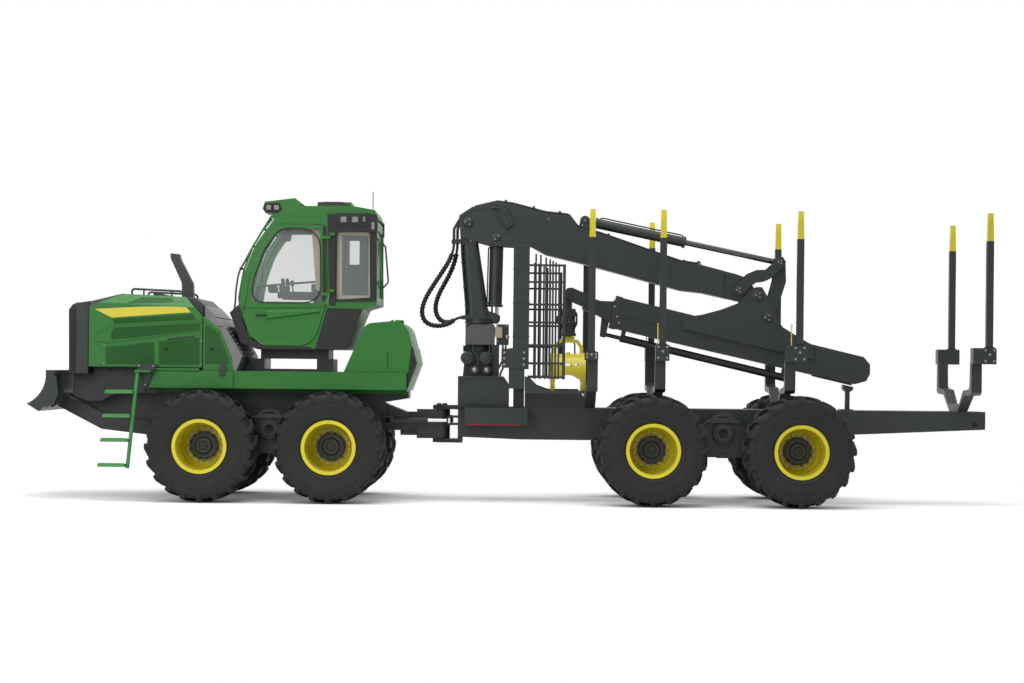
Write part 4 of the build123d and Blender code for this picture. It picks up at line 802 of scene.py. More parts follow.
def sill_trim():
    """The sills' face plates and end caps, and the ladder's bracket on the left."""
    shape = Shape()
    shape.turned((-4312, -1038, 1627), LEFT, [(0, 19), (4, 19)], 16)
    shape.box(-3767, -3757, -1043, -1038, 1524, 1752)
    shape.slab([(-3950, 1850), (-3885, 1850), (-3865, 1770), (-3885, 1690), (-3960, 1690)], -1062, -1040)
    shape.slot = 1
    shape.slab([(-4930, 1556), (-4905, 1735), (-3775, 1735), (-3775, 1540)], -1047, -1037)
    shape.mirror()
    shape.slot = 0
    shape.slab([(-5072, 1842), (-4790, 1838), (-4947, 1500)], -1104, -1090)
    shape.slot = 1
    shape.box(-4860, -4230, -1040, -975, 1740, 1787)
    shape.slot = 2
    shape.bolts([(-5030, 1815), (-4840, 1812), (-4945, 1560)], -1104, 20)
    new_piece("sill_trim", shape, "front_frame", ["dark enamel", "green enamel", "zinc fitting"])


def tank_trim():
    """The tank's seams, corner guards, filler cap and step."""
    shape = Shape()
    shape.slab([(-1703, 1806), (-1693, 1806), (-1693, 2030), (-1703, 2030)], -983, -979)
    shape.twins([(-1420, 1745), (-1380, 2110), (-1352, 2092), (-1300, 1880), (-1352, 1740), (-1440, 1500),
                 (-1500, 1500), (-1440, 1760)], 978, 986)
    shape.slot = 1
    shape.turned((-1560, -640, 2420), UP, [(0, 62), (40, 62), (52, 48)], 24)
    shape.slab([(-1720, 2437), (-1660, 2478), (-1645, 2478), (-1650, 2430)], -560, -545)
    shape.box(-2080, -1500, -984, -979, 1760, 1772)
    new_piece("tank_trim", shape, "front_frame", ["black moulding", "green enamel"])


def step_teeth():
    """Rows of blunt teeth on the ladder's steps."""
    shape = Shape()
    for z, front in STEPS:
        rear = -5050 - (1720 - z) * 0.098
        for number in range(int((rear - front) / TOOTH_PITCH)):
            x = front + 8 + number * TOOTH_PITCH
            for y in (-1366, -1306, -1252):
                shape.skin([[(x + inset, y - half, level), (x + 14 - inset, y - half, level),
                             (x + 14 - inset, y + half, level), (x + inset, y + half, level)]
                            for inset, half, level in ((0, 5, z + 19), (5, 3, z + 30))])
    new_piece("step_teeth", shape, "ladder", ["light green enamel"])


class FORWARDER_OT_front(bpy.types.Operator):
    """Add the exhaust's flat casing and the trim of the nose, the cowl, the sills and the tank"""

    bl_idname = "forwarder.front"
    bl_label = "Front trim"

    def execute(self, context):
        for build in (stack_casing, nose_trim, cowl_trim, sill_trim, tank_trim, step_teeth):
            build()
        return {"FINISHED"}


# Cab

REAR_LAMPS_X = (-2324, -2168)
FRONT_LAMPS_X = (-3345, -3240)
AERIAL_PLACE = (-1960, -300)


def seal(shape, corners, bend, y):
    """A flat rubber seal round an opening in the cab's side."""
    start = [((corners[0][0] + corners[-1][0]) / 2, y, (corners[0][1] + corners[-1][1]) / 2)]
    line = bent(start + [(x, y, z) for x, z in corners] + start, bend)[:-1]
    shape.sweep(line, [(-9, -4), (9, -4), (9, 4), (-9, 4)], RIGHT, closed=True)


def cab_covers():
    """The dark panels round the cab's windows, and the work lamps at its rear corner."""
    shape = Shape()
    shape.slab([(-3858, 2545), (-3740, 2652), (-3700, 2570), (-3593, 2247), (-3371, 2073), (-3475, 2052),
                (-3696, 2139)], -802, -788)
    shape.slab([(-2536, 2622), (-2063, 2613), (-2261, 2060), (-2695, 2060)], -802, -788)
    shape.slab([(-2508, 2655), (-2420, 2655), (-2420, 3900), (-2548, 3900)], -794, -788)
    shape.frame_slab([(-2424, 3775), (-1872, 3775), (-1868, 2716), (-2424, 2704)],
                     [(-2412, 3664), (-1968, 3664), (-1953, 2768), (-2412, 2740)], -795, -788)
    shape.box(-2430, -1978, -806, -758, 3740, 3912)
    shape.slab(rounded_box(-1996, -1862, 3655, 3900, 40), -826, -758)
    seal(shape, [(-2420, 2730), (-2420, 3670), (-1960, 3670), (-1945, 2760)], 35, -790)
    shape.slab([(-3430, 2056), (-3400, 2094), (-2780, 2094), (-2700, 2056)], -800, -788)
    shape.mirror()
    shape.skin([[(-3475, y, 2052), (-3475, y, 2060), (-3696, y, 2139), (-3850, y, 2545), (-3740, y, 2652),
                 (-3732, y, 2662), (-3858, y, 2548), (-3704, y, 2132)] for y in (-790, 790)])
    shape.slot = 1
    for x in REAR_LAMPS_X:
        shape.slab(rounded_box(x - 52, x + 52, 3776, 3876, 16), -814, -804)
    shape.slab(rounded_box(-2072, -2016, 3790, 3872, 14), -812, -804)
    shape.slot = 2
    for x in REAR_LAMPS_X:
        shape.slab(rounded_box(x - 38, x + 38, 3790, 3862, 12), -820, -812)
    for z in (3848, 3812):
        shape.turned((-2044, -810, z), LEFT, [(0, 17), (6, 17), (9, 12)], 16)
    shape.slab(rounded_box(-1945, -1905, 3690, 3790, 15), -832, -824)
    new_piece("cab_covers", shape, "front_frame", ["black moulding", "dark enamel", "lamp lens"])


def cab_rails():
    """The rails up the windscreen's posts and at the rear, the aerial, the front lamps and the roof cover."""
    shape = Shape()
    for side in (-1, 1):
        y = side * 700
        shape.slot = 0
        shape.tube([(-3810, y, 2590), (-3798, y, 2640), (-3786, y, 2866), (-3752, y, 3102), (-3672, y, 3241),
                    (-3585, y, 3409), (-3455, y, 3640), (-3310, y, 3870)], 13, 400)
        y = side * 750
        shape.slot = 1
        shape.tube([(-3720, y, 2640), (-3741, y, 2732), (-3712, y, 2924), (-3674, y, 3130), (-3562, y, 3441),
                    (-3430, y, 3663), (-3295, y, 3830)], 14, 300)
        shape.tube([(-1890, y, 3598), (-1842, y, 3538), (-1796, y, 3037), (-1880, y, 2941)], 13, 50)
        shape.slot = 2
        for x, z in ((-3735, 3155), (-3560, 3455), (-3420, 3690)):
            shape.tube([(x, side * 700, z), (x + 60, side * 735, z - 20)], 15)
    top = bpy.context.scene.forwarder_trim.aerial_top / MM
    shape.rod((*AERIAL_PLACE, 3950), (*AERIAL_PLACE, top), 6, 8)
    shape.turned((*AERIAL_PLACE, 3945), UP, [(0, 26), (30, 20), (50, 10)], 16)
    shape.twins([(-3420, 3960), (-3400, 4034), (-3205, 4046), (-3165, 3960), (-3230, 3908), (-3385, 3912)],
                757, 772)
    for x in FRONT_LAMPS_X:
        shape.twins(rounded_box(x - 44, x + 44, 3936, 4022, 14), 770, 782)
    shape.slot = 3
    for x in FRONT_LAMPS_X:
        shape.twins(rounded_box(x - 32, x + 32, 3948, 4010, 10), 781, 787)
    shape.slot = 4
    shape.slab([(-2724, 4001), (-2724, 4086), (-2620, 4099), (-2380, 4099), (-2256, 4052), (-2256, 4001)],
               -306, 306)
    new_piece("cab_rails", shape, "front_frame",
              ["dark enamel", "green enamel", "black moulding", "lamp lens", "grey enamel"])


def door_trim():
    """The door's window seal, raised rim, handle and lower moulding."""
    shape = Shape()
    seal(shape, [(-3580, 2690), (-3530, 3030), (-3400, 3400), (-3190, 3700), (-2640, 3700), (-2620, 2690)],
         260, -791)
    shape.slab([(-2598, 2700), (-2540, 2760), (-2572, 3735), (-2606, 3735)], -796, -788)
    shape.slab(rounded_box(-3505, -3360, 2504, 2530, 11), -818, -788)
    shape.turned((-3330, -788, 2470), LEFT, [(0, 12), (8, 12)], 14)
    shape.slot = 1
    rim = [(-3668, -794, 2640), (-3704, -794, 2480), (-3516, -794, 2118), (-2734, -794, 2118),
           (-2545, -794, 2740), (-2548, -794, 2790)]
    shape.sweep(bent(rim, 260, 9), [(-14, -8), (14, -8), (14, 4), (8, 8), (-8, 8), (-14, 4)], LEFT)
    shape.skin([[(-3344, -789, 2590), (-3350, -806, 2560), (-3358, -806, 2470), (-3358, -789, 2455)],
                [(-2700, -789, 2597), (-2660, -806, 2585), (-2640, -806, 2570), (-2630, -789, 2556)]])
    shape.slab([(-3690, 2640), (-2545, 2665), (-2545, 2640), (-3696, 2612)], -802, -788)
    new_piece("door_trim", shape, "cab_door", ["black moulding", "green enamel"])


def cab_inside():
    """What shows through the glass: linings, levers, screens, armrests and headrests."""
    shape = Shape()
    for low, high in ((-728, -716), (716, 728)):
        shape.frame_slab([(-2425, 3700), (-1935, 3705), (-1925, 2722), (-2425, 2716)],
                         [(-2349, 3617), (-1990, 3612), (-1985, 2800), (-2340, 2796)], low, high)
    shape.twins([(-2770, 3780), (-2640, 3780), (-2615, 2832), (-2697, 2875)], 690, 724)
    shape.slab([(-3200, 3768), (-1960, 3768), (-1960, 3786), (-3200, 3786)], -724, 724)
    shape.slot = 1
    shape.frame_slab([(-2430, 3760), (-1960, 3760), (-1960, 2760), (-2430, 2760)],
                     [(-2392, 3621), (-2208, 3621), (-2208, 3279), (-2392, 3279)], 702, 714)
    shape.box(-1958, -1942, -715, 715, 2700, 2790)
    shape.tube([(-3525, -400, 2916), (-3200, -400, 2950), (-2722, -400, 2990)], 14)
    shape.tube([(-3525, -400, 2916), (-3560, -400, 2700), (-3560, -400, 2300)], 18, 60)
    shape.box(-3610, -3500, -440, 440, 2140, 2640)
    shape.slab(rounded_box(-3380, -3250, 2830, 2930, 30), -430, -300)
    shape.slab(rounded_box(-3230, -3090, 2850, 2935, 25), -420, -300)
    shape.slab(rounded_box(-2790, -2660, 2850, 2960, 25), -400, -300)
    for x in (-3170, -3110):
        for y in (-350, 350):
            shape.tube([(x, y, 2845), (x - 10, y, 2960)], 9)
            shape.turned((x - 10, y, 2950), (-0.1, 0, 1), [(0, 16), (30, 26), (70, 24), (84, 12)], 16)
    shape.slab([(-3217, 3591), (-3054, 3608), (-3075, 3533), (-3194, 3532)], -530, -480)
    shape.tube([(-3120, -505, 3600), (-3110, -505, 3770)], 9)
    shape.slab([(-3560, 2660), (-3545, 2660), (-3490, 3250), (-3505, 3250)], -30, 30)
    shape.slab([(-3500, 2980), (-3470, 2980), (-3450, 3180), (-3480, 3180)], -330, -110)
    shape.twins(rounded_box(-2530, -2400, 3250, 3420, 30), 80, 210)
    new_piece("cab_inside", shape, "front_frame", ["beige trim", "black moulding"])


class FORWARDER_OT_cab(bpy.types.Operator):
    """Add the cab's rails, covers, lamps, seals, aerial and inner trim"""

    bl_idname = "forwarder.cab"
    bl_label = "Cab trim"

    def execute(self, context):
        for build in (cab_covers, cab_rails, door_trim, cab_inside):
            build()
        return {"FINISHED"}


# Free hoses

# The control points that steer each hose's spline, from the pipes at the column's head to its neck
HOSES = {
    "outer": [(-846, -60, 3560), (-846, -60, 3500), (-872, -75, 3400), (-920, -95, 3290),
              (-1000, -110, 3160), (-1090, -120, 3020), (-1180, -125, 2880), (-1255, -125, 2730),
              (-1285, -120, 2580), (-1230, -110, 2450), (-1090, -95, 2400), (-930, -80, 2425),
              (-830, -66, 2490), (-770, -60, 2530), (-700, -60, 2530)],
    "inner": [(-800, 60, 3560), (-800, 60, 3500), (-815, 70, 3400), (-845, 85, 3280), (-900, 95, 3140),
              (-975, 100, 3000), (-1050, 100, 2860), (-1100, 95, 2710), (-1090, 85, 2570), (-1010, 75, 2470),
              (-900, 68, 2460), (-830, 62, 2495), (-770, 60, 2530), (-700, 60, 2530)],
}
HOSE_STEPS = 40
WOUND_SIDES = 14


def hose_line(name, points):
    """Points along the smooth spline that the route steers, in millimetres."""
    curve = bpy.data.curves.new(name, "CURVE")
    curve.dimensions = "3D"
    spline = curve.splines.new("NURBS")
    spline.points.add(len(points) - 1)
    for knot, point in zip(spline.points, points):
        knot.co = (*(Vector(point) * MM), 1.0)
    spline.order_u = 3
    spline.use_endpoint_u = True
    spline.resolution_u = HOSE_STEPS
    holder = bpy.data.objects.new(name, curve)
    mesh = bpy.data.meshes.new_from_object(holder)
    line = [vertex.co / MM for vertex in mesh.vertices]
    bpy.data.objects.remove(holder)
    bpy.data.curves.remove(curve)
    bpy.data.meshes.remove(mesh)
    return line


def wound(line, high, low, pitch, share):
    """A tube along a line with a spiral band that stands proud of it."""
    shape = Shape()
    rings = []
    up = Vector(RIGHT)
    travelled = 0.0
    for index, point in enumerate(line):
        before = line[max(index - 1, 0)]
        way = (line[min(index + 1, len(line) - 1)] - before).normalized()
        travelled += (point - before).length
        up = (up - way * up.dot(way)).normalized()
        aside = way.cross(up)
        ring = []
        for step, (first, second) in enumerate(around(WOUND_SIDES, 1.0)):
            turn = (travelled / pitch - step / WOUND_SIDES) % 1.0
            ring.append(point + (aside * first + up * second) * (high if turn < share else low))
        rings.append(ring)
    shape.skin(rings)
    return shape


class FORWARDER_OT_hoses(bpy.types.Operator):
    """Hang the two free hose loops with their spiral guards in front of the column"""

    bl_idname = "forwarder.hoses"
    bl_label = "Free hoses"

    def execute(self, context):
        trim = context.scene.forwarder_trim
        radius, guard = trim.hose_radius / MM, trim.sleeve_radius / MM
        for name, points in HOSES.items():
            line = hose_line("hose route " + name, points)
            hose = wound(line, radius, radius - 3, 24, 0.55)
            piece = new_piece("hose_loop_" + name, hose, "column", ["hose rubber"], 50)
            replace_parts(piece, "crane_hose_" + name)
            spiral = wound(line[len(line) // 9:-len(line) // 8], guard, guard - 7, 46, 0.62)
            sleeve = new_piece("hose_sleeve_" + name, spiral, "column", ["hose rubber"], 50)
        return {"FINISHED"}


# Crane

CRANE_FINISH = ["dark enamel", "zinc fitting"]
SLEW_X = -480
TIP_X = 760
# Body of each cylinder's barrel, its pin, the far pin, and (distance, radius) of its mouth and its tail
BARRELS = [("lift_barrel", (-250, 0, 3640), (-270, 0, 2513), (955, 106), (100, 100)),
           ("fold_barrel", (973, 0, 3890), (3672, 0, 3337), (1420, 80), (175, 78))]


def cap(shape, x, z, y, radius, bolts=0, spread=0.6):
    """A pin's end cover on a side plane of the left side, with its bolts."""
    shape.turned((x, y + 1, z), LEFT, [(0, radius), (8, radius), (10, radius - 3)], 28)
    slot = shape.slot
    shape.slot = 1
    shape.bolts([(x + dx, z + dz) for dz, dx in around(bolts, radius * spread, 0.25)], y - 10, 20, 12)
    shape.slot = slot


def column_trim():
    """The column's slew flange, hose fittings, pipes and clamps."""
    shape = Shape()
    cap(shape, -649, 3850, -170, 66, 3)
    shape.slot = 1
    shape.bolts([(-560, 3590), (-610, 3590)], -115, 20, 12)
    shape.slot = 0
    shape.mirror()
    shape.turned((SLEW_X, 0, 2446), UP, [(0, 204), (22, 204), (26, 200)], 48)
    for dx, y in around(16, 186):
        shape.bolt((SLEW_X + dx, y, 2508), UP, 22, 16)
    shape.box(-862, -742, -112, 112, 3600, 3612)
    for x, y in ((-846, -60), (-800, 60)):
        shape.turned((x, y, 3552), UP, [(0, 27), (62, 27)], 6)
        shape.rod((x, y, 3610), (x, y, 3680), 20)
        shape.tube([(x, y, 3660), (x, y, 3760), (-760, y * 1.2, 3900)], 20, 60)
        shape.turned((-705, y, 2530), (-1, 0, 0), [(0, 28), (30, 28)], 6)
    for number, y in enumerate((-95, -48, 0, 48, 95)):
        shape.tube([(-745, y, 3640 - number), (-735, y, 3400), (-700, y, 3000), (-672, y, 2700),
                    (-668, y, 2560)], 11, 80)
    for z, x in ((3300, -726), (2950, -695), (2700, -672)):
        shape.box(x - 16, x + 20, -112, 112, z - 12, z + 12)
    new_piece("column_trim", shape, "column", CRANE_FINISH)


def boom_trim():
    """The main boom's pin covers, side ribs, valve block, pipes and clamps."""
    shape = Shape()
    cap(shape, -250, 3640, -150, 56, 2)
    cap(shape, 3105, 2945, -199, 44, 3)
    cap(shape, 3380, 2875, -169, 54, 3)
    cap(shape, 973, 3890, -89, 34, 1, 0.0)
    shape.slot = 1
    shape.bolts([(463, 3900), (934, 3820)], -149, 20)
    shape.slot = 0
    shape.slab([(-760, 3890), (-760, 3925), (-590, 4035), (-240, 4108), (-240, 4090), (-580, 4010)],
               -156, -148)
    shape.slab([(870, 3330), (870, 3360), (2330, 2995), (2330, 2962)], -154, -148)
    shape.mirror()
    shape.slab([(-241, 3977), (-126, 4046), (-11, 3828), (-126, 3759)], -205, -149)
    shape.slab([(-205, 3960), (-170, 3981), (-90, 3828), (-125, 3808)], -214, -204)
    shape.slab([(-150, 3994), (-124, 4010), (-44, 3856), (-70, 3840)], -214, -204)
    shape.tube([(-190, -180, 4005), (-260, -180, 4060), (-340, -178, 4035)], 12, 40)
    for y in (-110, -80, 80, 110):
        shape.tube([(-560, y, 4072), (-240, y, 4148), (-25, y, 4120), (425, y, 4006), (745, y, 3975),
                    (868, y, 3818), (1210, y, 3716), (2300, y, 3346), (2560, y, 3312)], 11, 60)
    for x, z in ((-130, 4140), (260, 4058), (620, 3994), (1300, 3690), (1900, 3486), (2350, 3336)):
        shape.box(x - 16, x + 16, -126, 126, z - 10, z + 24)
    shape.tube([(2540, -1, 3290), (2535, 0, 3340), (2575, 0, 3340), (2590, 1, 3282)], 10, 18)
    new_piece("boom_trim", shape, "main_boom", CRANE_FINISH)


def knee_trim():
    """The pin covers of the knee's rocker and of the jib, with the jib's bolts and wear strips."""
    shape = Shape()
    cap(shape, 3672, 3337, -194, 40, 3)
    shape.mirror()
    new_piece("rocker_trim", shape, "knee_rocker", CRANE_FINISH)

    shape = Shape()
    cap(shape, 3512, 2567, -184, 62, 3)
    cap(shape, 3380, 2875, -164, 88, 0)
    shape.slot = 1
    shape.bolts([(1400, 2790), (1428, 2560), (1450, 2475), (1392, 2700)], -136)
    shape.slot = 0
    shape.slab([(1520, 2560), (1520, 2640), (2330, 2445), (2330, 2365)], -129, -124)
    shape.mirror()
    shape.slab([(4150, 1790), (4150, 1765), (4700, 1640), (4700, 1665)], -60, 60)
    new_piece("jib_trim", shape, "jib", CRANE_FINISH)


def barrel_trims():
    """The gland rings of the lift and fold cylinders' barrels, and the pipe along each."""
    for body, pin, far_pin, mouth, tail in BARRELS:
        shape = Shape()
        way = (Vector(far_pin) - Vector(pin)).normalized()
        for distance, radius in (mouth, tail):
            shape.turned(Vector(pin) + way * (distance - 28), way,
                         [(0, radius), (6, radius + 5), (26, radius + 5), (30, radius - 6)], 32)
        first = Vector(pin) + way * (tail[0] + 30)
        last = Vector(pin) + way * (mouth[0] - 40)
        lift = way.cross(Vector(RIGHT)) * (tail[1] + 12)
        if lift.z < 0 or body == "lift_barrel" and lift.x < 0:
            lift = -lift
        shape.tube([first, first + lift, last + lift, last], 10, 30)
        new_piece(body + "_trim", shape, body, ["dark enamel"])


def base_trim():
    """The slew cylinders' end covers, the base's plates, bolts and pipes, and the cover on the pedestal."""
    shape = Shape()
    for x in (-640, -375):
        shape.turned((x, -428, 1966), LEFT, [(0, 88), (14, 88), (16, 84)], 32)
        shape.turned((x, -442, 1966), LEFT, [(0, 34), (8, 30)], 24)
        shape.bolts([(x + dx, 1966 + dz) for dx, dz in around(8, 66)], -444, 20, 12)
    for x in (-534, -366):
        shape.turned((x, -428, 1805), LEFT, [(0, 58), (10, 58)], 28)
        shape.slot = 1
        shape.turned((x, -438, 1805), LEFT, [(0, 30), (12, 30), (16, 24)], 28)
        shape.slot = 0
    shape.slab([(160, 1290), (160, 1510), (930, 1510), (1000, 1400), (1000, 1290)], -285, 285)
    shape.slab([(-740, 1330), (-80, 1330), (-80, 1345), (-740, 1345)], -462, -449)
    shape.slab([(-740, 1690), (-160, 1690), (-160, 1712), (-740, 1712)], -462, -449)
    shape.bolts([(-700, 1400), (-700, 1640), (-180, 1400), (-200, 1640), (-440, 1400)], -450, 26)
    shape.bolts([(-600, 2200), (-600, 2390), (-300, 2200), (-310, 2390)], -300, 20)
    shape.tube([(-560, -306, 2150), (-560, -330, 2060), (-500, -360, 1990), (-470, -400, 1900),
                (-534, -400, 1850)], 13, 40)
    shape.tube([(-330, -306, 2160), (-330, -335, 2060), (-400, -360, 1960), (-366, -400, 1850)], 13, 40)
    shape.tube([(-110, -335, 2160), (-110, -380, 1900), (-180, -380, 1760), (-180, -380, 1716)], 14, 60)
    shape.tube([(-150, -335, 2160), (-150, -360, 1940), (-220, -360, 1800), (-220, -360, 1716)], 14, 60)
    shape.slot = 4
    shape.slab([(-655, 2150), (-655, 2380), (-600, 2425), (-300, 2425), (-262, 2380), (-262, 2150)],
               -311, -299)
    shape.slot = 1
    shape.turned((-85, -329, 2262), LEFT, [(0, 26), (16, 26), (18, 22)], 24)
    shape.bolts([(-220, 2410), (-100, 2410), (-220, 2200)], -330, 18)
    shape.slot = 2
    shape.slab(rounded_box(-257, -160, 2249, 2395, 10), -352, -328)
    shape.slot = 3
    shape.slab([(-642, 1047), (112, 1047), (112, 1059), (-642, 1059)], -624, -606)
    new_piece("base_trim", shape, "rear_frame",
              CRANE_FINISH + ["beige trim", "red reflector", "mid grey enamel"])


def rotator_trim():
    """The short hoses, the plate and the bolts of the rotator."""
    shape = Shape()
    for dx, y in ((-100, -60), (-100, 50), (98, -70), (98, 40)):
        shape.tube([(TIP_X + dx * share, y, z)
                    for share, z in ((0.7, 2650), (1.1, 2600), (1.15, 2460), (0.7, 2370))], 12, 50)
    shape.slab(rounded_box(590, 660, 2450, 2570, 22), -60, 60)
    shape.slot = 1
    for dx, y in around(8, 88):
        shape.bolt((TIP_X + dx, y, 2480), UP, 18, 12)
    new_piece("rotator_trim", shape, "tip_link", ["black moulding", "zinc fitting"])


def grapple_trim():
    """The jaws' pin ends, the head's bolts and its two hoses."""
    shape = Shape()
    for y in (-150, 150):
        for x, way in ((505, -1), (1005, 1)):
            shape.turned((x, y, 1980), (way, 0, 0), [(-2, 40), (8, 40), (10, 36)], 24)
            shape.turned((x, y, 1980), (way, 0, 0), [(8, 14), (18, 12)], 6)
    shape.bolts([(610, 1968), (900, 1968)], -190, 26)
    shape.tube([(680, -60, 2225), (670, -92, 2160), (668, -96, 2060), (660, -90, 2008)], 11, 40)
    shape.tube([(840, 60, 2225), (850, 92, 2160), (852, 96, 2060), (860, 90, 2008)], 11, 40)
    new_piece("grapple_trim", shape, "grapple", ["dark enamel"])


class FORWARDER_OT_crane(bpy.types.Operator):
    """Add the crane's pin covers, pipes, valves, clamps and cylinder glands"""

    bl_idname = "forwarder.crane"
    bl_label = "Crane trim"

    def execute(self, context):
        for build in (column_trim, boom_trim, knee_trim, barrel_trims, base_trim, rotator_trim, grapple_trim):
            build()
        return {"FINISHED"}


# Load space

# Middle of each stake's socket and the level of its mouth
SOCKETS = ((1040, 2060), (1987, 2165), (3814, 2170), (6340, 2165))
STAKE_Y = -1350
# Level and half width up the yellow tips
TIP_SECTIONS = ((3590, 42.2), (3700, 40.4), (3820, 38.3), (3951, 36.0), (3961, 30))
# X and the levels of both ends of the yellow handles
HANDLES = ((1921, 2164, 2440), (3700, 2169, 2444))
GATE_ROD_LEVELS = (1715, 1902, 2142, 2446, 2685, 2985, 3210)
GATE_ROD_X = (290, 353, 424, 477, 517, 557, 600)


def stake_trim(shape):
    """The left stakes' yellow tips, their sockets' bolts and collars, and the handles."""
    for x, top in SOCKETS:
        shape.slot = 0
        shape.skin([[(x - half, STAKE_Y - half, z), (x + half, STAKE_Y - half, z),
                     (x + half, STAKE_Y + half, z), (x - half, STAKE_Y + half, z)]
                    for z, half in TIP_SECTIONS])
        shape.slot = 1
        shape.bolts([(x + shift, z) for z in (1990, top - 30) for shift in (-58, 58)], -1409, 26)
        shape.bolts([(x, (1990 + top) / 2)], -1409, 30, 18)
        shape.slot = 2
        low, high = top - 3, top + 14
        outer, inner = [[(x - half, low), (x + half, low), (x + half, high), (x - half, high)]
                        for half in (62, 48)]
        shape.frame_slab(outer, inner, -1412, -1300)
    shape.slot = 0
    for x, low, high in HANDLES:
        shape.rod((x, -1392, low), (x, -1392, high), 8, 10)
        shape.rod((x, -1392, high - 6), (x, -1392, high + 8), 14, 10)


def gate_trim(shape):
    """The left side's bolts and teeth at the gate, its brackets and its rods' clamps."""
    shape.slot = 1
    shape.bolts([(x, z) for z in (1880, 1960, 2040) for x in (-120, 140)], -1371, 26)
    shape.slot = 2
    for z in range(1846, 2064, 31):
        shape.box(-166, -148, -1360, -1250, z, z + 16)
    for z in (2250, 2700, 3150, 3440):
        shape.box(-16, 211, -1366, -1234, z, z + 16)
    for z in GATE_ROD_LEVELS:
        for x in GATE_ROD_X:
            shape.turned((x, -1287, z), LEFT, [(0, 19), (33, 19)], 8)


class FORWARDER_OT_load_space(bpy.types.Operator):
    """Add the stakes' yellow tips, the socket bolts and handles and the gate's brackets"""

    bl_idname = "forwarder.load_space"
    bl_label = "Load space trim"

    def execute(self, context):
        shape = Shape()
        stake_trim(shape)
        gate_trim(shape)
        shape.mirror()
        new_piece("load_space_trim", shape, "rear_frame", ["yellow enamel", "zinc fitting", "dark enamel"])
        return {"FINISHED"}


# Undercarriage

BOGIE_MIDDLES = {"front_frame": -3300, "rear_frame": 2856}
REAR_FRAME_BOLTS_X = (1300, 2300, 3300, 4300, 5200)
DECK_BOLTS_X = (-5300, -4700, -4100, -3500, -2900, -2300, -1800)
BLADE_BOLTS_Y = (-900, -450, 0, 450, 900)


def bearing_trim(body, x):
    """A bogie pair's bearing caps, with the ribbed arch and the plates round them."""
    shape = Shape()
    shape.turned((x, -781, 975), LEFT, [(0, 150), (40, 150), (46, 142), (46, 118), (58, 112), (66, 104),
                                        (66, 66), (50, 62)], 40)
    shape.slab([(x - 240, 1136), (x - 150, 1176), (x + 150, 1176), (x + 240, 1136), (x + 240, 1118),
                (x - 240, 1118)], -846, -780)
    shape.slab(arc(x, 1035, 205, range(30, 151, 10)) + arc(x, 1035, 176, range(150, 29, -10)), -830, -780)
    for rib, z in arc(x, 1035, 215, range(50, 131, 10)):
        shape.slab([(rib - 11, z - 16), (rib + 11, z - 16), (rib + 8, z + 14), (rib - 8, z + 14)],
                   -826, -782)
    shape.slab([(x - 90, 640), (x + 90, 640), (x + 90, 700), (x - 90, 700)], -800, -780)
    shape.slot = 1
    shape.bolts([(x + dx, 975 + dz) for dx, dz in around(10, 130)], -826, 18, 10)
    shape.slot = 2
    shape.turned((x, -830, 975), LEFT, [(0, 63), (12, 63)], 32)
    shape.mirror()
    new_piece(body + "_bearings", shape, body, ["dark enamel", "grey enamel", "black moulding"])


def bolt_trim():
    """The bolts of the rear frame with its articulation pin's cap, of the front deck and of the blade."""
    shape = Shape()
    shape.bolts([(x, 1262) for x in REAR_FRAME_BOLTS_X], -299, 26)
    shape.mirror()
    shape.turned((-990, 0, 1309), UP, [(0, 78), (14, 78), (18, 72)], 32)
    for dx, y in around(6, 56):
        shape.bolt((-990 + dx, y, 1326), UP, 22)
    new_piece("frame_trim", shape, "rear_frame", ["dark enamel"])
    shape = Shape()
    shape.bolts([(x, 1420) for x in DECK_BOLTS_X], -299, 26)
    shape.mirror()
    new_piece("deck_bolts", shape, "front_frame", ["dark enamel"])
    shape = Shape()
    for y in BLADE_BOLTS_Y:
        shape.bolt((-6452, y, 1252), (-0.6, 0, 0.8), 34, 16)
    new_piece("blade_bolts", shape, "blade", ["dark enamel"])


class FORWARDER_OT_undercarriage(bpy.types.Operator):
    """Add the bogies' bearing caps and the bolts of the frames, the deck and the blade"""

    bl_idname = "forwarder.undercarriage"
    bl_label = "Undercarriage trim"

    def execute(self, context):
        for body, x in BOGIE_MIDDLES.items():
            bearing_trim(body, x)
        bolt_trim()
        return {"FINISHED"}


# Studio

FLOOR_TONE = 0.80
NEAR_GLOW = 0.42
WHITE = (1, 1, 1, 1)
# The photograph's camera: place, roll, and its axis and middle in the picture
CAMERA_PLACE = (0.076, -32.4, 1.835)
CAMERA_ROLL = 0.0105
SENSOR_WIDTH = 36.0
PICTURE_WIDTH = 1024
AXIS_PX = (519, 368)
CENTRE_PX = (512, 341.5)


def soft_lamp(name, place, target, size, power):
    """A large square lamp that looks at target."""
    lamp = bpy.data.lights.new(name, "AREA")
    lamp.shape = "SQUARE"
    lamp.size = size
    lamp.energy = power
    holder = bpy.data.objects.new(name, lamp)
    holder.location = place
    holder.rotation_euler = (Vector(target) - Vector(place)).to_track_quat("-Z", "Y").to_euler()
    bpy.context.collection.objects.link(holder)


def background_mask(tree):
    """One where a ray should see the plain background: straight, mirrored or through glass."""
    rays = add_node(tree, "ShaderNodeLightPath").outputs
    seen = calculate(tree, "MAXIMUM", rays["Is Camera Ray"], rays["Is Glossy Ray"])
    return calculate(tree, "MAXIMUM", seen, rays["Is Transmission Ray"])


def far_mask(tree):
    """Nought round the machine and one far out, where the floor is only background."""
    place = add_node(tree, "ShaderNodeTexCoord")
    shrunk = add_node(tree, "ShaderNodeVectorMath", {0: place.outputs["Object"], 1: (0.55, 1.0, 0.0)},
                      operation="MULTIPLY")
    distance = add_node(tree, "ShaderNodeVectorMath", {0: shrunk.outputs["Vector"]}, operation="LENGTH")
    return ramp(tree, distance.outputs["Value"], 3.2, 7.5, interpolation_type="SMOOTHSTEP")


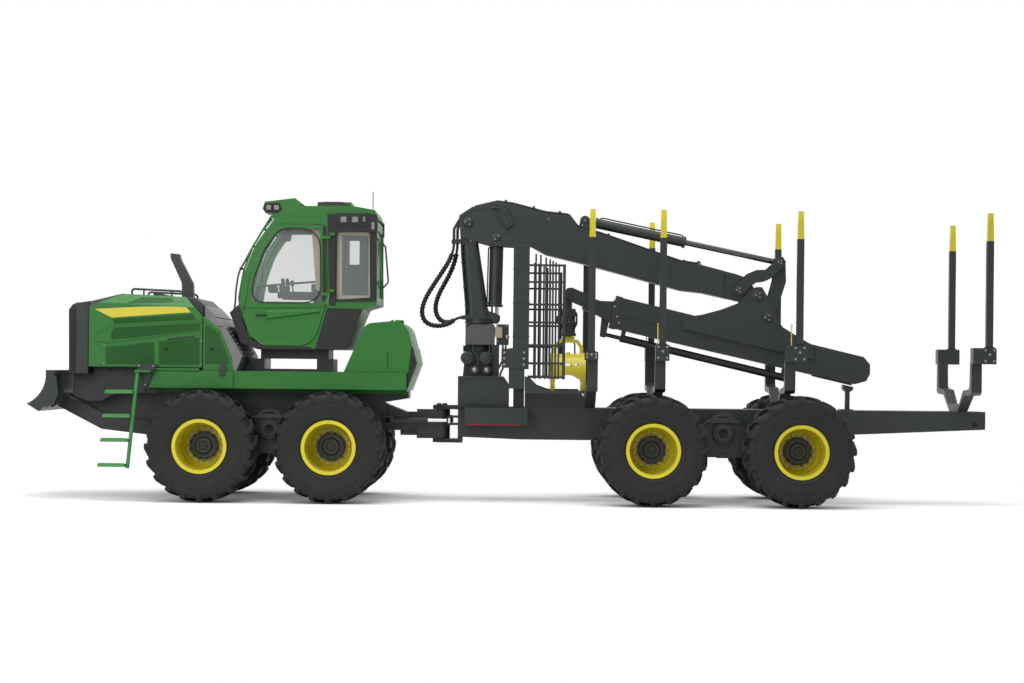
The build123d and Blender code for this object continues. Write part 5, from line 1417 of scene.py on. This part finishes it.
def lay_floor(scene, size):
    """A pale floor that keeps the lamps' shadow near the machine, adds a painted shadow there by dimming its
    glow with ambient occlusion, and is plain white far out.
    """
    mesh = bpy.data.meshes.new("floor")
    half = size / 2
    mesh.from_pydata([(-half, -half, 0), (half, -half, 0), (half, half, 0), (-half, half, 0)], [],
                     [(0, 1, 2, 3)])
    floor = bpy.data.objects.new("floor", mesh)
    scene.collection.objects.link(floor)
    tree, bsdf = blank_material("studio floor")
    far = far_mask(tree)
    # Painted shadow: ambient occlusion dims the floor's glow near and under the machine.
    painted_contact_shadow = add_node(tree, "ShaderNodeAmbientOcclusion", {"Distance": 1.6}, samples=8)
    near = calculate(tree, "MULTIPLY", painted_contact_shadow.outputs["AO"], NEAR_GLOW)
    level = add_node(tree, "ShaderNodeMix", {0: far, 2: near, 3: 1.0})
    feed(tree, bsdf, {
        "Base Color": mix_colour(tree, far, (FLOOR_TONE, FLOOR_TONE, FLOOR_TONE), (0, 0, 0)),
        "Roughness": 0.8, "Specular IOR Level": 0.0, "Emission Color": WHITE,
        "Emission Strength": calculate(tree, "MULTIPLY", background_mask(tree), level.outputs[0])})
    mesh.materials.append(MATERIALS["studio floor"])


def hang_sky(scene, strength):
    """Even light all round, seen as plain white."""
    world = bpy.data.worlds.new("studio")
    scene.world = world
    world.use_nodes = True
    tree = world.node_tree
    level = ramp(tree, background_mask(tree), 0.0, 1.0, strength)
    feed(tree, tree.nodes["Background"], {"Strength": level, "Color": WHITE})


def set_camera(scene, lens):
    """The camera that saw the machine, with its shift and slight roll."""
    camera = bpy.data.cameras.new("photo camera")
    camera.lens = lens
    camera.sensor_width = SENSOR_WIDTH
    camera.shift_x = (CENTRE_PX[0] - AXIS_PX[0]) / PICTURE_WIDTH
    camera.shift_y = (AXIS_PX[1] - CENTRE_PX[1]) / PICTURE_WIDTH
    camera.clip_end = 400
    holder = bpy.data.objects.new("photo camera", camera)
    across, along, height = CAMERA_PLACE
    cosine, sine = math.cos(CAMERA_ROLL), math.sin(CAMERA_ROLL)
    holder.matrix_world = Matrix(((cosine, -sine, 0, across), (0, 0, -1, along), (sine, cosine, 0, height),
                                  (0, 0, 0, 1)))
    scene.collection.objects.link(holder)
    scene.camera = holder


class FORWARDER_OT_studio(bpy.types.Operator):
    """Set the floor, the light and the photograph's camera"""

    bl_idname = "forwarder.studio"
    bl_label = "Studio"

    def execute(self, context):
        scene = context.scene
        studio = scene.forwarder_studio
        scene.view_settings.view_transform = "Standard"
        lay_floor(scene, studio.floor_size)
        hang_sky(scene, studio.sky_strength)
        soft_lamp("overhead lamp", (-2, -3, 14), (0, 0, 1.5), 14, studio.key_power)
        soft_lamp("front lamp", (-9, -17, 7), (-1, 0, 1.8), 8, studio.fill_power)
        set_camera(scene, studio.lens)
        return {"FINISHED"}


class FORWARDER_PT_sidebar(bpy.types.Panel):
    """Buttons for each group of pieces"""

    bl_label = "Forwarder"
    bl_idname = "FORWARDER_PT_sidebar"
    bl_space_type = "VIEW_3D"
    bl_region_type = "UI"
    bl_category = "Forwarder"

    def draw(self, context):
        for operator in OPERATORS:
            self.layout.operator(operator.bl_idname)


OPERATORS = [FORWARDER_OT_finishes, FORWARDER_OT_wheels, FORWARDER_OT_hood, FORWARDER_OT_front,
             FORWARDER_OT_cab, FORWARDER_OT_hoses, FORWARDER_OT_crane, FORWARDER_OT_load_space,
             FORWARDER_OT_undercarriage, FORWARDER_OT_studio]
CLASSES = [PaintSettings, TrimSettings, StudioSettings, *OPERATORS, FORWARDER_PT_sidebar]


def register():
    """Register the settings, the operators and the panel."""
    for item in CLASSES:
        bpy.utils.register_class(item)
    bpy.types.Scene.forwarder_paint = PointerProperty(type=PaintSettings)
    bpy.types.Scene.forwarder_trim = PointerProperty(type=TrimSettings)
    bpy.types.Scene.forwarder_studio = PointerProperty(type=StudioSettings)


def unregister():
    """Take everything back out."""
    del bpy.types.Scene.forwarder_studio
    del bpy.types.Scene.forwarder_trim
    del bpy.types.Scene.forwarder_paint
    for item in reversed(CLASSES):
        bpy.utils.unregister_class(item)


def main():
    """Dress the frame."""
    register()
    bpy.ops.forwarder.finishes()
    bpy.ops.forwarder.wheels()
    bpy.ops.forwarder.hood()
    bpy.ops.forwarder.front()
    bpy.ops.forwarder.cab()
    bpy.ops.forwarder.hoses()
    bpy.ops.forwarder.crane()
    bpy.ops.forwarder.load_space()
    bpy.ops.forwarder.undercarriage()
    bpy.ops.forwarder.studio()


if __name__ == "__main__":
    main()
